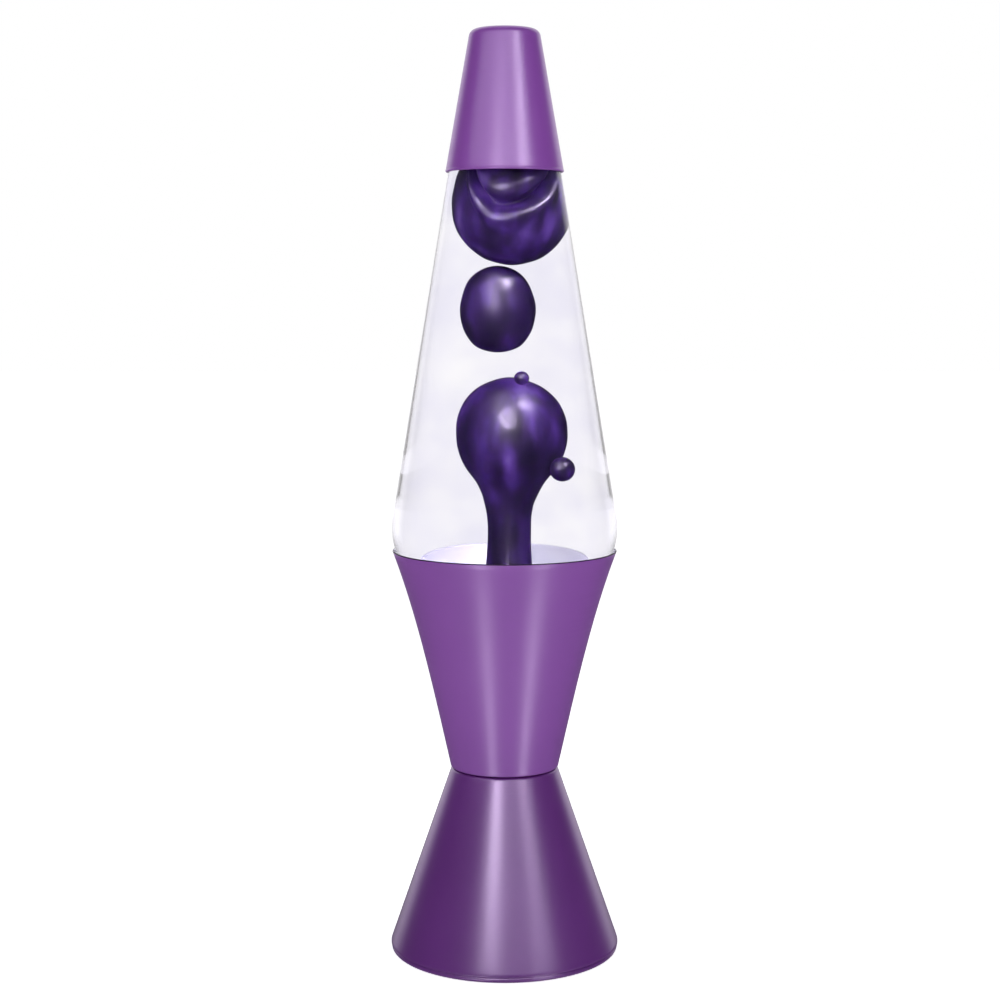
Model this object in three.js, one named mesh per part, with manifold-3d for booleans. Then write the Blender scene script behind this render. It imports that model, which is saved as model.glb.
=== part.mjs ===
// Lava lamp: a base of two metal cones, a sealed glass bottle of liquid and wax, and a metal cap.
// Millimetres, +Z up. The origin is on the table, on the lamp's axis, and +Y is the rear.

import * as THREE from "three";
import { mergeVertices } from "three/addons/utils/BufferGeometryUtils.js";
import Module from "manifold-3d";

const wasm = await Module();
wasm.setup();

// ---------- Driving dimensions ----------

const TOTAL_HEIGHT = 368.3;
const GAP = 0.3; // between two pieces that touch
const SHEET = 0.8; // wall of the spun cones and of the cap

// Base
const EDGE_CLEARANCE = 0.5; // from the table to the rolled edge
const WAIST_HEIGHT = 75.5; // seam between the two cones
const RIM_HEIGHT = 163.8;
const RIM_RADIUS = 45;
const UPPER_WAIST_RADIUS = 21.65;
const UPPER_TAPER = 0.222; // radius gained per millimetre of height at the waist
const FLARE_POWER = 3.5; // how late the upper cone starts to flare
const LOWER_WAIST_RADIUS = 21.44;
const LOWER_TAPER = 0.3455; // radius gained per millimetre of drop
const SHOULDER_BEND = 1.5; // outer radius of the lower cone's top bend
const CURL_RADIUS = 2.7; // rolled edge
const FLANGE_HOLE_RADIUS = 14;
const BOLT_OFFSET = 17.4; // bracket screws, from the axis

// Bottle, with heights from its own floor
const BOTTLE_SEAT = 132;
const GLASS = 2.3;
const BOTTLE_RADIUS = 45.1;
const SHOULDER_HEIGHT = 40.5;
const SHOULDER_ARC = 30;
const LOWER_WALL_TAPER = 0.36;
const FLOOR_CORNER = 5;
const NECK_RADIUS = 12;
const NECK_HEIGHT = 211;
const MOUTH_HEIGHT = 225.3;
const BORE_RADIUS = 8.2;

// Cap
const CAP_SEAT = 313.1;
const CAP_RADIUS = 23.35;
const CAP_TAPER = 0.177;
const CAP_CORNER = 3.2;

// Bulb, with heights from its own contact
const BULB_SEAT = 64.5;
const BULB_RADIUS = 17.45;
const BULB_LENGTH = 58.7;
const THREAD_PITCH = 1.814;
const THREAD_RINGS = 4;

// Wax, with heights from the bottle's floor
const POOL_TOP = 9;
const COLUMN_TOP = 100;
const WAX_SINK = 8; // how far the two upper blobs may drift down
const SMALL_BEAD_RISE = 30;
const SIDE_BEAD_RISE = 25;

// Facets round a full turn
const LARGE = 32;
const MEDIUM = 16;
const SMALL = 12;

// ---------- Materials ----------

function material(color, roughness, metalness, extra = {}) {
  return new THREE.MeshStandardMaterial({ color, roughness, metalness, ...extra });
}

const satinPurple = material(0x7d4199, 0.42, 0.85);
const brushedPurple = material(0x6a2a86, 0.3, 1);
const steel = material(0xa9abae, 0.35, 1);
const brass = material(0xc59a45, 0.3, 1);
const nickel = material(0xb7b6ae, 0.25, 1);
const phenolic = material(0x171310, 0.5, 0);
const blackPlastic = material(0x1b1b1d, 0.6, 0);
const rubber = material(0x141415, 0.9, 0);
const glass = material(0xf4f7fa, 0.05, 0, { transparent: true, opacity: 0.3 });
const liquidClear = material(0xf7f6fb, 0.05, 0, { transparent: true, opacity: 0.25 });
const wax = material(0x3a1f78, 0.35, 0);
const tungsten = material(0x6c6c70, 0.4, 1);
const liner = material(0xd9d9d2, 0.7, 0);

// ---------- Geometry helpers ----------

const at = (radius, height) => new THREE.Vector2(radius, height);

// An arc in the (radius, height) plane.
function arc(centre, radius, fromDegrees, toDegrees, steps) {
  return Array.from({ length: steps + 1 }, (_, step) => {
    const degrees = fromDegrees + ((toDegrees - fromDegrees) * step) / steps;
    const angle = THREE.MathUtils.degToRad(degrees);
    return at(centre.x + radius * Math.cos(angle), centre.y + radius * Math.sin(angle));
  });
}

// A solid turned about +Z. The outline runs anticlockwise: from axis to axis, or round a ring.
function turned(outline, facets) {
  const isRing = outline[0].x > 0;
  const profile = isRing ? [...outline, outline[0]] : outline;
  return new THREE.LatheGeometry(profile, facets).rotateX(Math.PI / 2);
}

function rod(radius, length, facets = SMALL) {
  return new THREE.CylinderGeometry(radius, radius, length, facets).rotateX(Math.PI / 2);
}

function toSolid(geometry) {
  const bare = geometry.clone();
  bare.deleteAttribute("normal");
  bare.deleteAttribute("uv");
  const merged = mergeVertices(bare, 1e-4);
  const mesh = new wasm.Mesh({
    numProp: 3,
    vertProperties: merged.attributes.position.array,
    triVerts: new Uint32Array(merged.index.array),
  });
  return new wasm.Manifold(mesh);
}

function toGeometry(solid) {
  const { vertProperties, triVerts } = solid.getMesh();
  const geometry = new THREE.BufferGeometry();
  geometry.setAttribute("position", new THREE.BufferAttribute(vertProperties, 3));
  geometry.setIndex(new THREE.BufferAttribute(triVerts, 1));
  geometry.computeVertexNormals();
  return geometry;
}

function cut(geometry, tools) {
  const left = tools.reduce((solid, tool) => solid.subtract(toSolid(tool)), toSolid(geometry));
  return toGeometry(left);
}

function piece(name, geometry, look) {
  const mesh = new THREE.Mesh(geometry, look);
  mesh.name = name;
  return mesh;
}

function assembly(height, ...pieces) {
  const group = new THREE.Group();
  group.position.z = height;
  group.add(...pieces);
  return group;
}

// ---------- Base: the two cones ----------

const lowerFlangeTop = WAIST_HEIGHT - GAP / 2;
const upperFlangeBottom = WAIST_HEIGHT + GAP / 2;
const lowerConeSlant = Math.hypot(1, LOWER_TAPER);
const lowerConeTilt = THREE.MathUtils.radToDeg(Math.atan(LOWER_TAPER));

function lowerConeRadius(height) {
  return LOWER_WAIST_RADIUS + LOWER_TAPER * (lowerFlangeTop - height);
}

// The waist radius, a straight taper, and a flare that grows towards the rim.
function upperConeRadius(height) {
  const climb = height - WAIST_HEIGHT;
  const fullClimb = RIM_HEIGHT - WAIST_HEIGHT;
  const flare = RIM_RADIUS - UPPER_WAIST_RADIUS - UPPER_TAPER * fullClimb;
  return UPPER_WAIST_RADIUS + UPPER_TAPER * climb + flare * (climb / fullClimb) ** FLARE_POWER;
}

function boltHoles(height) {
  return [-BOLT_OFFSET, BOLT_OFFSET].map((x) => rod(1.75, 8).translate(x, 0, height));
}

// The wall's bend at the top and the rolled edge at the bottom are arcs that meet its slope.
function lowerCone() {
  const bendHeight = lowerFlangeTop - SHOULDER_BEND;
  const bend = at(lowerConeRadius(bendHeight) - SHOULDER_BEND * lowerConeSlant, bendHeight);
  const curlHeight = EDGE_CLEARANCE + CURL_RADIUS;
  const curl = at(lowerConeRadius(curlHeight) - CURL_RADIUS * lowerConeSlant, curlHeight);
  const wallAngle = 360 + lowerConeTilt;
  const outline = [
    ...arc(curl, CURL_RADIUS, 180, wallAngle, 5),
    ...arc(bend, SHOULDER_BEND, lowerConeTilt, 90, 2),
    at(FLANGE_HOLE_RADIUS, lowerFlangeTop),
    at(FLANGE_HOLE_RADIUS, lowerFlangeTop - SHEET),
    ...arc(bend, SHOULDER_BEND - SHEET, 90, lowerConeTilt, 2),
    ...arc(curl, CURL_RADIUS - SHEET, wallAngle, 180, 5),
  ];
  return cut(turned(outline, LARGE), [...boltHoles(lowerFlangeTop), cordHole()]);
}

function upperCone() {
  const steps = 8;
  const wall = Array.from({ length: steps + 1 }, (_, step) => {
    const height = upperFlangeBottom + ((RIM_HEIGHT - upperFlangeBottom) * step) / steps;
    return at(upperConeRadius(height), height);
  });
  const inside = wall.map(({ x, y }) => at(x - SHEET, Math.max(y, upperFlangeBottom + SHEET)));
  const outline = [
    at(FLANGE_HOLE_RADIUS, upperFlangeBottom),
    ...wall,
    ...inside.reverse(),
    at(FLANGE_HOLE_RADIUS, upperFlangeBottom + SHEET),
  ];
  return cut(turned(outline, LARGE), boltHoles(upperFlangeBottom));
}

// ---------- Base: cord grommet ----------

const GROMMET_HEIGHT = 16;
const GROMMET_NECK = 4;

// From +Z to the outward normal of the lower cone's wall at the rear.
function facingRear(geometry) {
  const tilt = THREE.MathUtils.degToRad(lowerConeTilt - 90);
  return geometry.rotateX(tilt).translate(0, lowerConeRadius(GROMMET_HEIGHT), GROMMET_HEIGHT);
}

function cordHole() {
  return facingRear(rod(GROMMET_NECK + GAP, 8, MEDIUM));
}

// A bush with a flange on each side of the wall, whose groove leaves room for the wall's curve.
function cordGrommet() {
  const bore = 3;
  const outline = [
    at(bore, -3.3),
    at(5.2, -3.3),
    at(5.6, -2.6),
    at(5.6, -1.6),
    at(GROMMET_NECK, -1.6),
    at(GROMMET_NECK, 0.35),
    at(6, 0.35),
    at(6, 1.4),
    at(5.2, 2.3),
    at(bore, 2.3),
  ];
  return facingRear(turned(outline, SMALL));
}

// ---------- Base: socket bracket and its fasteners ----------

const BRACKET_TOP = lowerFlangeTop - SHEET - GAP;
const BRACKET_TAB = 1.2;
const BRACKET_STRAP = 1;
const BRACKET_FLOOR = 51;
const BRACKET_WIDTH = 12;
const NIPPLE_RADIUS = 4.85;

// A strap with a hat section: tabs under the cones' flanges, legs, and a floor for the lamp holder.
function socketBracket() {
  const tabEnd = 19.6;
  const legOut = 14.4;
  const legIn = legOut - BRACKET_STRAP;
  const half = [
    at(legOut, BRACKET_FLOOR),
    at(legOut, BRACKET_TOP - BRACKET_TAB),
    at(tabEnd, BRACKET_TOP - BRACKET_TAB),
    at(tabEnd, BRACKET_TOP),
    at(legIn, BRACKET_TOP),
    at(legIn, BRACKET_FLOOR + BRACKET_STRAP),
  ];
  const otherHalf = half.map(({ x, y }) => at(-x, y)).reverse();
  const section = new THREE.Shape([...half, ...otherHalf]);
  const strap = new THREE.ExtrudeGeometry(section, { depth: BRACKET_WIDTH, bevelEnabled: false });
  strap.rotateX(Math.PI / 2).translate(0, BRACKET_WIDTH / 2, 0);
  const nippleHole = rod(NIPPLE_RADIUS + GAP, 8, MEDIUM).translate(0, 0, BRACKET_FLOOR);
  return cut(strap, [nippleHole, ...boltHoles(BRACKET_TOP)]);
}

function hexNut(acrossFlats, bore, thickness) {
  const corner = acrossFlats / Math.sqrt(3);
  const corners = Array.from({ length: 6 }, (_, side) => {
    const angle = ((side + 0.5) * Math.PI) / 3;
    return at(corner * Math.cos(angle), corner * Math.sin(angle));
  });
  const section = new THREE.Shape(corners);
  section.holes.push(new THREE.Path().absarc(0, 0, bore, 0, 2 * Math.PI, true));
  const options = { depth: thickness, bevelEnabled: false, curveSegments: SMALL };
  return new THREE.ExtrudeGeometry(section, options);
}

// A slotted screw pointing down, with the underside of its head at height 0.
function slottedScrew(shaftRadius, shaftLength, headRadius, headHeight) {
  const outline = [
    at(0, -shaftLength),
    at(shaftRadius, -shaftLength),
    at(shaftRadius, 0),
    at(headRadius, 0),
    at(headRadius, headHeight / 2),
    at(headRadius * 0.6, headHeight),
    at(0, headHeight),
  ];
  const slotDepth = headHeight * 0.45;
  const slot = new THREE.BoxGeometry(3 * headRadius, 0.7, 2 * slotDepth);
  return cut(turned(outline, SMALL), [slot.translate(0, 0, headHeight)]);
}

function bracketFasteners() {
  const nutThickness = 2.4;
  const screwSeat = upperFlangeBottom + SHEET + GAP;
  const nutTop = BRACKET_TOP - BRACKET_TAB - GAP;
  return [-BOLT_OFFSET, BOLT_OFFSET].flatMap((x, index) => {
    const screw = piece(`bracket_screw_${index + 1}`, slottedScrew(1.45, 7, 2.7, 1.8), steel);
    screw.position.set(x, 0, screwSeat);
    const nut = piece(`bracket_nut_${index + 1}`, hexNut(5.5, 1.75, nutThickness), steel);
    nut.position.set(x, 0, nutTop - nutThickness);
    return [screw, nut];
  });
}

// A split ring, a little open at one side.
function lockWasher() {
  const halfSplit = THREE.MathUtils.degToRad(5);
  const section = new THREE.Shape();
  section.absarc(0, 0, 8, halfSplit, 2 * Math.PI - halfSplit, false);
  section.absarc(0, 0, NIPPLE_RADIUS + GAP, 2 * Math.PI - halfSplit, halfSplit, true);
  const options = { depth: 1.2, bevelEnabled: false, curveSegments: SMALL };
  return new THREE.ExtrudeGeometry(section, options);
}

function nippleParts() {
  const bottom = 42;
  const top = 60;
  const bore = 3.5;
  const tube = [at(bore, bottom), at(NIPPLE_RADIUS, bottom), at(NIPPLE_RADIUS, top), at(bore, top)];
  const washer = piece("lock_washer", lockWasher(), steel);
  washer.position.z = BRACKET_FLOOR - GAP - 1.2;
  const nut = piece("nipple_nut", hexNut(14, NIPPLE_RADIUS + GAP, 4), brass);
  nut.position.z = washer.position.z - GAP - 4;
  return [piece("socket_nipple", turned(tube, MEDIUM), steel), washer, nut];
}

// ---------- Base: lamp holder ----------

const HOLDER_BOTTOM = BRACKET_FLOOR + BRACKET_STRAP + GAP;
const HOLDER_FLOOR = 61.5;
const HOLDER_TOP = 85;
const TERMINAL_HEIGHT = 56.8;
const TERMINAL_SEAT = 9.6; // floor of a terminal pocket, from the axis

function socketBody() {
  const outer = 13;
  const cavity = 10.2;
  const bore = NIPPLE_RADIUS + GAP;
  const outline = [
    at(bore, HOLDER_BOTTOM),
    at(outer - 0.8, HOLDER_BOTTOM),
    at(outer, HOLDER_BOTTOM + 0.8),
    at(outer, HOLDER_TOP - 0.8),
    at(outer - 0.8, HOLDER_TOP),
    at(cavity, HOLDER_TOP),
    at(cavity, HOLDER_FLOOR),
    at(bore, HOLDER_FLOOR),
  ];
  const tools = [-1, 1].flatMap((side) => {
    const pocket = new THREE.BoxGeometry(6.4, 8, 6);
    const hole = rod(1.5, 6.8).rotateX(Math.PI / 2);
    return [
      pocket.translate(0, side * (TERMINAL_SEAT + 4), TERMINAL_HEIGHT),
      hole.translate(0, side * TERMINAL_SEAT, TERMINAL_HEIGHT),
    ];
  });
  return cut(turned(outline, MEDIUM), tools);
}

function terminalScrews() {
  return [-1, 1].map((side, index) => {
    const screw = piece(`terminal_screw_${index + 1}`, slottedScrew(1.2, 3.3, 2.4, 1.6), brass);
    screw.rotation.x = (-side * Math.PI) / 2;
    screw.position.set(0, side * (TERMINAL_SEAT + GAP), TERMINAL_HEIGHT);
    return screw;
  });
}

// Crests and roots of a rolled thread, as rings from the bottom up.
function threadRings(crest, root, bottom) {
  return Array.from({ length: 2 * THREAD_RINGS + 1 }, (_, step) =>
    at(step % 2 ? crest : root, bottom + (step * THREAD_PITCH) / 2),
  );
}

function socketShell() {
  const bottom = HOLDER_FLOOR + GAP;
  const inside = threadRings(8.95, 8.55, BULB_SEAT + 5.5);
  const outside = inside.map(({ x, y }) => at(x + 0.6, y));
  const outline = [
    at(6, bottom),
    at(9.55, bottom),
    ...outside,
    at(9.15, HOLDER_TOP - 3),
    at(8.55, HOLDER_TOP - 3),
    ...inside.reverse(),
    at(8.95, bottom + 0.6),
    at(6, bottom + 0.6),
  ];
  return turned(outline, MEDIUM);
}

function socketContact() {
  const bottom = HOLDER_FLOOR + GAP;
  const outline = [
    at(0, bottom),
    at(3.6, bottom),
    at(3.6, bottom + 0.6),
    at(2.2, bottom + 0.8),
    at(1.4, BULB_SEAT - GAP),
    at(0, BULB_SEAT - GAP),
  ];
  return turned(outline, SMALL);
}

// ---------- Base: bottom cover and feet ----------

const COVER_BOTTOM = 2;
const COVER_THICKNESS = 1.6;
const FOOT_OFFSET = 32;
const FOOT_STEM = 1.7;

const footPlaces = [45, 135, 225, 315].map((degrees) => {
  const angle = THREE.MathUtils.degToRad(degrees);
  return at(FOOT_OFFSET * Math.cos(angle), FOOT_OFFSET * Math.sin(angle));
});

// A disc whose rim snaps over the rolled edge, with a ring of vent holes and four foot holes.
function bottomCover() {
  const rim = 40.2;
  const top = COVER_BOTTOM + COVER_THICKNESS;
  const outline = [
    at(0, COVER_BOTTOM),
    at(rim, COVER_BOTTOM),
    at(rim, 6.2),
    at(rim + 1, 6.6),
    at(rim + 1, 7.4),
    at(rim - 1.4, 7.4),
    at(rim - 1.4, top),
    at(0, top),
  ];
  const ventCount = 8;
  const vents = Array.from({ length: ventCount }, (_, index) => {
    const angle = (index * 2 * Math.PI) / ventCount;
    return rod(3, 6).translate(20 * Math.cos(angle), 20 * Math.sin(angle), COVER_BOTTOM);
  });
  const footHoles = footPlaces.map(({ x, y }) => rod(FOOT_STEM + GAP, 6).translate(x, y, COVER_BOTTOM));
  return cut(turned(outline, LARGE), [...vents, ...footHoles]);
}

// A rubber foot whose stem passes through the cover and ends in a barb.
function foot() {
  const barbBottom = COVER_BOTTOM + COVER_THICKNESS + GAP;
  const outline = [
    at(0, 0),
    at(4.6, 0),
    at(5, COVER_BOTTOM - GAP),
    at(FOOT_STEM, COVER_BOTTOM - GAP),
    at(FOOT_STEM, barbBottom),
    at(2.6, barbBottom),
    at(1.4, barbBottom + 1.8),
    at(0, barbBottom + 1.8),
  ];
  return turned(outline, SMALL);
}

function feet() {
  return footPlaces.map(({ x, y }, index) => {
    const mesh = piece(`foot_${index + 1}`, foot(), rubber);
    mesh.position.set(x, y, 0);
    return mesh;
  });
}

// ---------- Bulb ----------

const BULB_NECK = 7.2;

// A straight-sided envelope: the neck swells to a hemisphere, all at one distance inside the outer wall.
function bulbWall(inset) {
  const domeHeight = BULB_LENGTH - BULB_RADIUS;
  const swell = new THREE.CubicBezierCurve(
    at(BULB_NECK - inset, 16.5),
    at(BULB_NECK - inset, 27),
    at(BULB_RADIUS - inset, 30),
    at(BULB_RADIUS - inset, domeHeight),
  );
  const dome = arc(at(0, domeHeight), BULB_RADIUS - inset, 0, 90, 5);
  dome.at(-1).x = 0;
  return [at(BULB_NECK - inset, 10), ...swell.getPoints(5), ...dome.slice(1)];
}

function bulbGlass() {
  return turned([...bulbWall(0.7).reverse(), ...bulbWall(0)], MEDIUM);
}

function bulbShell() {
  const inner = BULB_NECK + GAP;
  const outline = [
    at(inner, 3.9),
    at(7.8, 3.9),
    ...threadRings(8.2, 7.95, 5.5),
    at(8.2, 16.5),
    at(inner, 16.5),
  ];
  return turned(outline, MEDIUM);
}

function bulbInsulator() {
  return turned([at(0, 1.3), at(3.2, 1.3), at(7, 3.2), at(7, 3.6), at(0, 3.6)], SMALL);
}

function bulbContact() {
  return turned([at(0, 0), at(1.6, 0), at(2.6, 0.6), at(2.6, 1), at(0, 1)], SMALL);
}

const STEM_TOP = 32;

function bulbStem() {
  const outline = [
    at(0, 12),
    at(6, 12),
    at(5.4, 14),
    at(2.6, 20),
    at(2.2, STEM_TOP - 1),
    at(1.4, STEM_TOP),
    at(0, STEM_TOP),
  ];
  return turned(outline, SMALL);
}

// One wire: a lead up from the stem, a sagging coil of tungsten drawn as its core, and a lead back.
function bulbFilament() {
  const route = new THREE.CatmullRomCurve3([
    new THREE.Vector3(-0.7, 0, STEM_TOP + GAP),
    new THREE.Vector3(-3.5, 0, STEM_TOP + 4),
    new THREE.Vector3(-9, 0, STEM_TOP + 9),
    new THREE.Vector3(-5, 4, STEM_TOP + 9.5),
    new THREE.Vector3(0, 5.5, STEM_TOP + 9),
    new THREE.Vector3(5, 4, STEM_TOP + 9.5),
    new THREE.Vector3(9, 0, STEM_TOP + 9),
    new THREE.Vector3(3.5, 0, STEM_TOP + 4),
    new THREE.Vector3(0.7, 0, STEM_TOP + GAP),
  ]);
  const section = new THREE.Shape().absarc(0, 0, 0.25, 0, 2 * Math.PI, false);
  const options = { steps: 18, bevelEnabled: false, extrudePath: route, curveSegments: 3 };
  return new THREE.ExtrudeGeometry(section, options);
}

// ---------- Bottle ----------

const shoulderCentre = at(BOTTLE_RADIUS - SHOULDER_ARC, SHOULDER_HEIGHT);
const capSeatInBottle = CAP_SEAT - BOTTLE_SEAT;
const GLASS_UNDER_CAP = 22.2; // glass radius at the cap's lower edge
const NECK_START = 186;

// Slope of the straight wall that leaves the shoulder arc as its tangent and passes under the cap.
function wallTilt() {
  const across = shoulderCentre.x - GLASS_UNDER_CAP;
  const along = capSeatInBottle - shoulderCentre.y;
  return Math.asin(SHOULDER_ARC / Math.hypot(across, along)) - Math.atan2(-across, along);
}

const upperWallTilt = wallTilt();

function bottleRadius(height) {
  return GLASS_UNDER_CAP + Math.tan(upperWallTilt) * (capSeatInBottle - height);
}

// The wall from the floor up, at one distance inside the outer face.
function bottleWall(inset, neckShare) {
  const lowerTilt = Math.atan(LOWER_WALL_TAPER);
  const arcEnd = at(
    shoulderCentre.x + SHOULDER_ARC * Math.cos(lowerTilt),
    shoulderCentre.y - SHOULDER_ARC * Math.sin(lowerTilt),
  );
  const cornerWall = arcEnd.x - LOWER_WALL_TAPER * (arcEnd.y - FLOOR_CORNER);
  const corner = at(cornerWall - FLOOR_CORNER * Math.hypot(1, LOWER_WALL_TAPER), FLOOR_CORNER);
  const degrees = THREE.MathUtils.radToDeg;
  const neckSlope = Math.tan(upperWallTilt);
  const neckLine = bottleRadius(NECK_START) - inset;
  const neck = new THREE.CubicBezierCurve(
    at(neckLine, NECK_START),
    at(neckLine - 10 * neckSlope, NECK_START + 10),
    at(NECK_RADIUS - inset, NECK_HEIGHT - 10),
    at(NECK_RADIUS - inset, NECK_HEIGHT),
  );
  const neckSteps = 4;
  const neckPoints = neck.getPoints(neckSteps).slice(0, Math.round(neckShare * neckSteps) + 1);
  return [
    ...arc(corner, FLOOR_CORNER - inset, -90, -degrees(lowerTilt), 3),
    ...arc(shoulderCentre, SHOULDER_ARC - inset, -degrees(lowerTilt), degrees(upperWallTilt), 4),
    ...neckPoints,
  ];
}

function glassBottle() {
  const inside = bottleWall(GLASS, 1).map(({ x, y }) => at(Math.max(x, BORE_RADIUS), y));
  const lockingRing = 13.3;
  const outline = [
    at(0, 0),
    ...bottleWall(0, 1),
    at(NECK_RADIUS, MOUTH_HEIGHT - 7.6),
    at(lockingRing, MOUTH_HEIGHT - 6.4),
    at(lockingRing, MOUTH_HEIGHT - 2.6),
    at(NECK_RADIUS - 0.2, MOUTH_HEIGHT - 0.3),
    at(BORE_RADIUS + 1, MOUTH_HEIGHT),
    at(BORE_RADIUS, MOUTH_HEIGHT - 1),
    ...inside.reverse(),
    at(0, GLASS),
  ];
  return turned(outline, LARGE);
}

const CROWN_TOP = MOUTH_HEIGHT + 1.8;
const CROWN_SKIRT = MOUTH_HEIGHT - 4.5;
const CROWN_FLUTES = 21;

// A crimped bottle cap: every other facet line of the skirt stands out.
function crownCap() {
  const sheet = 0.4;
  const skirt = 14.35;
  const outline = [
    at(0, CROWN_TOP - sheet),
    at(12.2, CROWN_TOP - sheet),
    at(skirt - sheet, CROWN_TOP - 2.4),
    at(skirt - sheet, CROWN_SKIRT),
    at(skirt, CROWN_SKIRT),
    at(skirt, CROWN_TOP - 2.2),
    at(12.4, CROWN_TOP),
    at(0, CROWN_TOP),
  ];
  const geometry = turned(outline, 2 * CROWN_FLUTES);
  const position = geometry.attributes.position;
  for (let index = 0; index < position.count; index += 1) {
    const x = position.getX(index);
    const y = position.getY(index);
    if (position.getZ(index) < CROWN_SKIRT + 0.1) {
      const wave = 1 + (0.35 / skirt) * Math.cos(CROWN_FLUTES * Math.atan2(y, x));
      position.setXY(index, x * wave, y * wave);
    }
  }
  return geometry;
}

function crownLiner() {
  const bottom = MOUTH_HEIGHT + GAP;
  const top = CROWN_TOP - 0.4 - GAP;
  return turned([at(0, bottom), at(11.6, bottom), at(11.6, top), at(0, top)], SMALL);
}

// A spring bent into an open ring that lies round the wax pool.
class RingCoil extends THREE.Curve {
  getPoint(share) {
    const turns = 16;
    const round = share * THREE.MathUtils.degToRad(350);
    const twist = share * turns * 2 * Math.PI;
    const radius = 28.9 + 1.5 * Math.cos(twist);
    const height = GLASS + 2.5 + 1.5 * Math.sin(twist);
    return new THREE.Vector3(radius * Math.cos(round), radius * Math.sin(round), height);
  }
}

function heatCoil() {
  const section = new THREE.Shape().absarc(0, 0, 0.35, 0, 2 * Math.PI, false);
  const options = { steps: 80, bevelEnabled: false, extrudePath: new RingCoil(), curveSegments: 3 };
  return new THREE.ExtrudeGeometry(section, options);
}

// ---------- Wax and liquid ----------

const COLUMN_PLACE = [1.4, 0];
const TOP_BLOB_PLACE = [2.2, 0];
const MIDDLE_BLOB_PLACE = [-2.1, 0];
const SMALL_BEAD = { place: [5.7, -18], height: 100.6, radius: 2.6 };
const SIDE_BEAD = { place: [20, -20], height: 65.4, radius: 4.75 };

// The mushroom: radii of its head and stem by height, from the stem's foot up to just under the top.
function columnOutline(grow) {
  const sides = [
    [19, POOL_TOP],
    [10.5, 17],
    [7.5, 30],
    [6.5, 46],
    [8.3, 56],
    [12.4, 65],
    [16.2, 75],
    [16.4, 84],
    [12.6, 94],
    [5, 99.2],
    [0, COLUMN_TOP],
  ];
  const curve = new THREE.SplineCurve(sides.map(([radius, height]) => at(radius, height)));
  const points = curve.getPoints(15).map(({ x, y }) => at(x + grow, y + grow));
  points[0].y = POOL_TOP;
  return [...points.slice(0, -1), at(0, COLUMN_TOP + grow)];
}

// The pool on the bottle's floor, with the column rising from it.
function waxColumn() {
  const floor = GLASS + GAP;
  const pool = [at(0, floor), at(25.4, floor), at(25.4, POOL_TOP - 2.5), at(23, POOL_TOP - 0.8)];
  const geometry = turned([...pool, ...columnOutline(0)], MEDIUM);
  return geometry.translate(...COLUMN_PLACE, 0);
}

// A blob from its sides, grown all round and stretched down or up to hold its whole path.
function blobOutline(sides, { grow = 0, sink = 0, rise = 0 } = {}) {
  const curve = new THREE.SplineCurve(sides.map(([radius, height]) => at(radius, height)));
  const points = curve.getPoints(10);
  const widest = points.reduce((best, next) => (next.x > best.x ? next : best));
  const lower = points.filter(({ y }) => y <= widest.y);
  const upper = points.filter(({ y }) => y >= widest.y);
  const outline = [
    ...lower.map(({ x, y }) => at(x + grow, y - sink - grow)),
    ...upper.map(({ x, y }) => at(x + grow, y + rise + grow)),
  ];
  outline[0].x = 0;
  outline.at(-1).x = 0;
  return outline;
}

const topBlobSides = [
  [0, 145],
  [9, 149.5],
  [15.4, 158.5],
  [17.9, 168],
  [17.4, 177],
  [12.5, 186.5],
  [0, 191.5],
];

const middleBlobSides = [
  [0, 110.3],
  [7.6, 113.6],
  [10.7, 122],
  [10.6, 130],
  [8, 138.5],
  [0, 144.4],
];

function beadOutline({ height, radius }, path = {}) {
  const { grow = 0, rise = 0 } = path;
  const lower = arc(at(0, height), radius + grow, -90, 0, 4);
  const upper = arc(at(0, height + rise), radius + grow, 0, 90, 4);
  const outline = rise ? [...lower, ...upper] : [...lower, ...upper.slice(1)];
  outline[0].x = 0;
  outline.at(-1).x = 0;
  return outline;
}

function waxBlob(name, outline, place, facets) {
  return piece(name, turned(outline, facets).translate(...place, 0), wax);
}

// A slit from one wax space to the next, because a closed solid can't hold a sealed hollow.
function slit([fromX, fromY], [toX, toY], height) {
  const length = Math.hypot(toX - fromX, toY - fromY);
  const box = new THREE.BoxGeometry(length, 0.4, 3);
  box.rotateZ(Math.atan2(toY - fromY, toX - fromX));
  return box.translate((fromX + toX) / 2, (fromY + toY) / 2, height);
}

// The liquid fills the bottle above the pool, less the space that each piece of wax moves through.
function liquid() {
  const wall = bottleWall(GLASS + GAP, 0.5);
  const above = wall.filter(({ y }) => y > POOL_TOP + 2);
  const poolEdge = at(27.5, POOL_TOP + GAP);
  const level = above.at(-1).y;
  const outline = [at(0, POOL_TOP + GAP), poolEdge, ...above, at(0, level)];
  const path = { grow: GAP, sink: WAX_SINK };
  const column = [at(0, POOL_TOP - 2), at(25, POOL_TOP - 2), ...columnOutline(GAP)];
  const spaces = [
    turned(column, MEDIUM).translate(...COLUMN_PLACE, 0),
    turned(blobOutline(topBlobSides, path), MEDIUM).translate(...TOP_BLOB_PLACE, 0),
    turned(blobOutline(middleBlobSides, path), MEDIUM).translate(...MIDDLE_BLOB_PLACE, 0),
    beadSpace(SMALL_BEAD, SMALL_BEAD_RISE),
    beadSpace(SIDE_BEAD, SIDE_BEAD_RISE),
  ];
  const slits = [
    slit(MIDDLE_BLOB_PLACE, [0, 60], 126),
    slit(MIDDLE_BLOB_PLACE, SMALL_BEAD.place, 126),
    slit(COLUMN_PLACE, SIDE_BEAD.place, 80),
  ];
  return cut(turned(outline, LARGE), [...spaces, ...slits]);
}

function beadSpace(bead, rise) {
  return turned(beadOutline(bead, { grow: GAP, rise }), SMALL).translate(...bead.place, 0);
}

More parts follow.
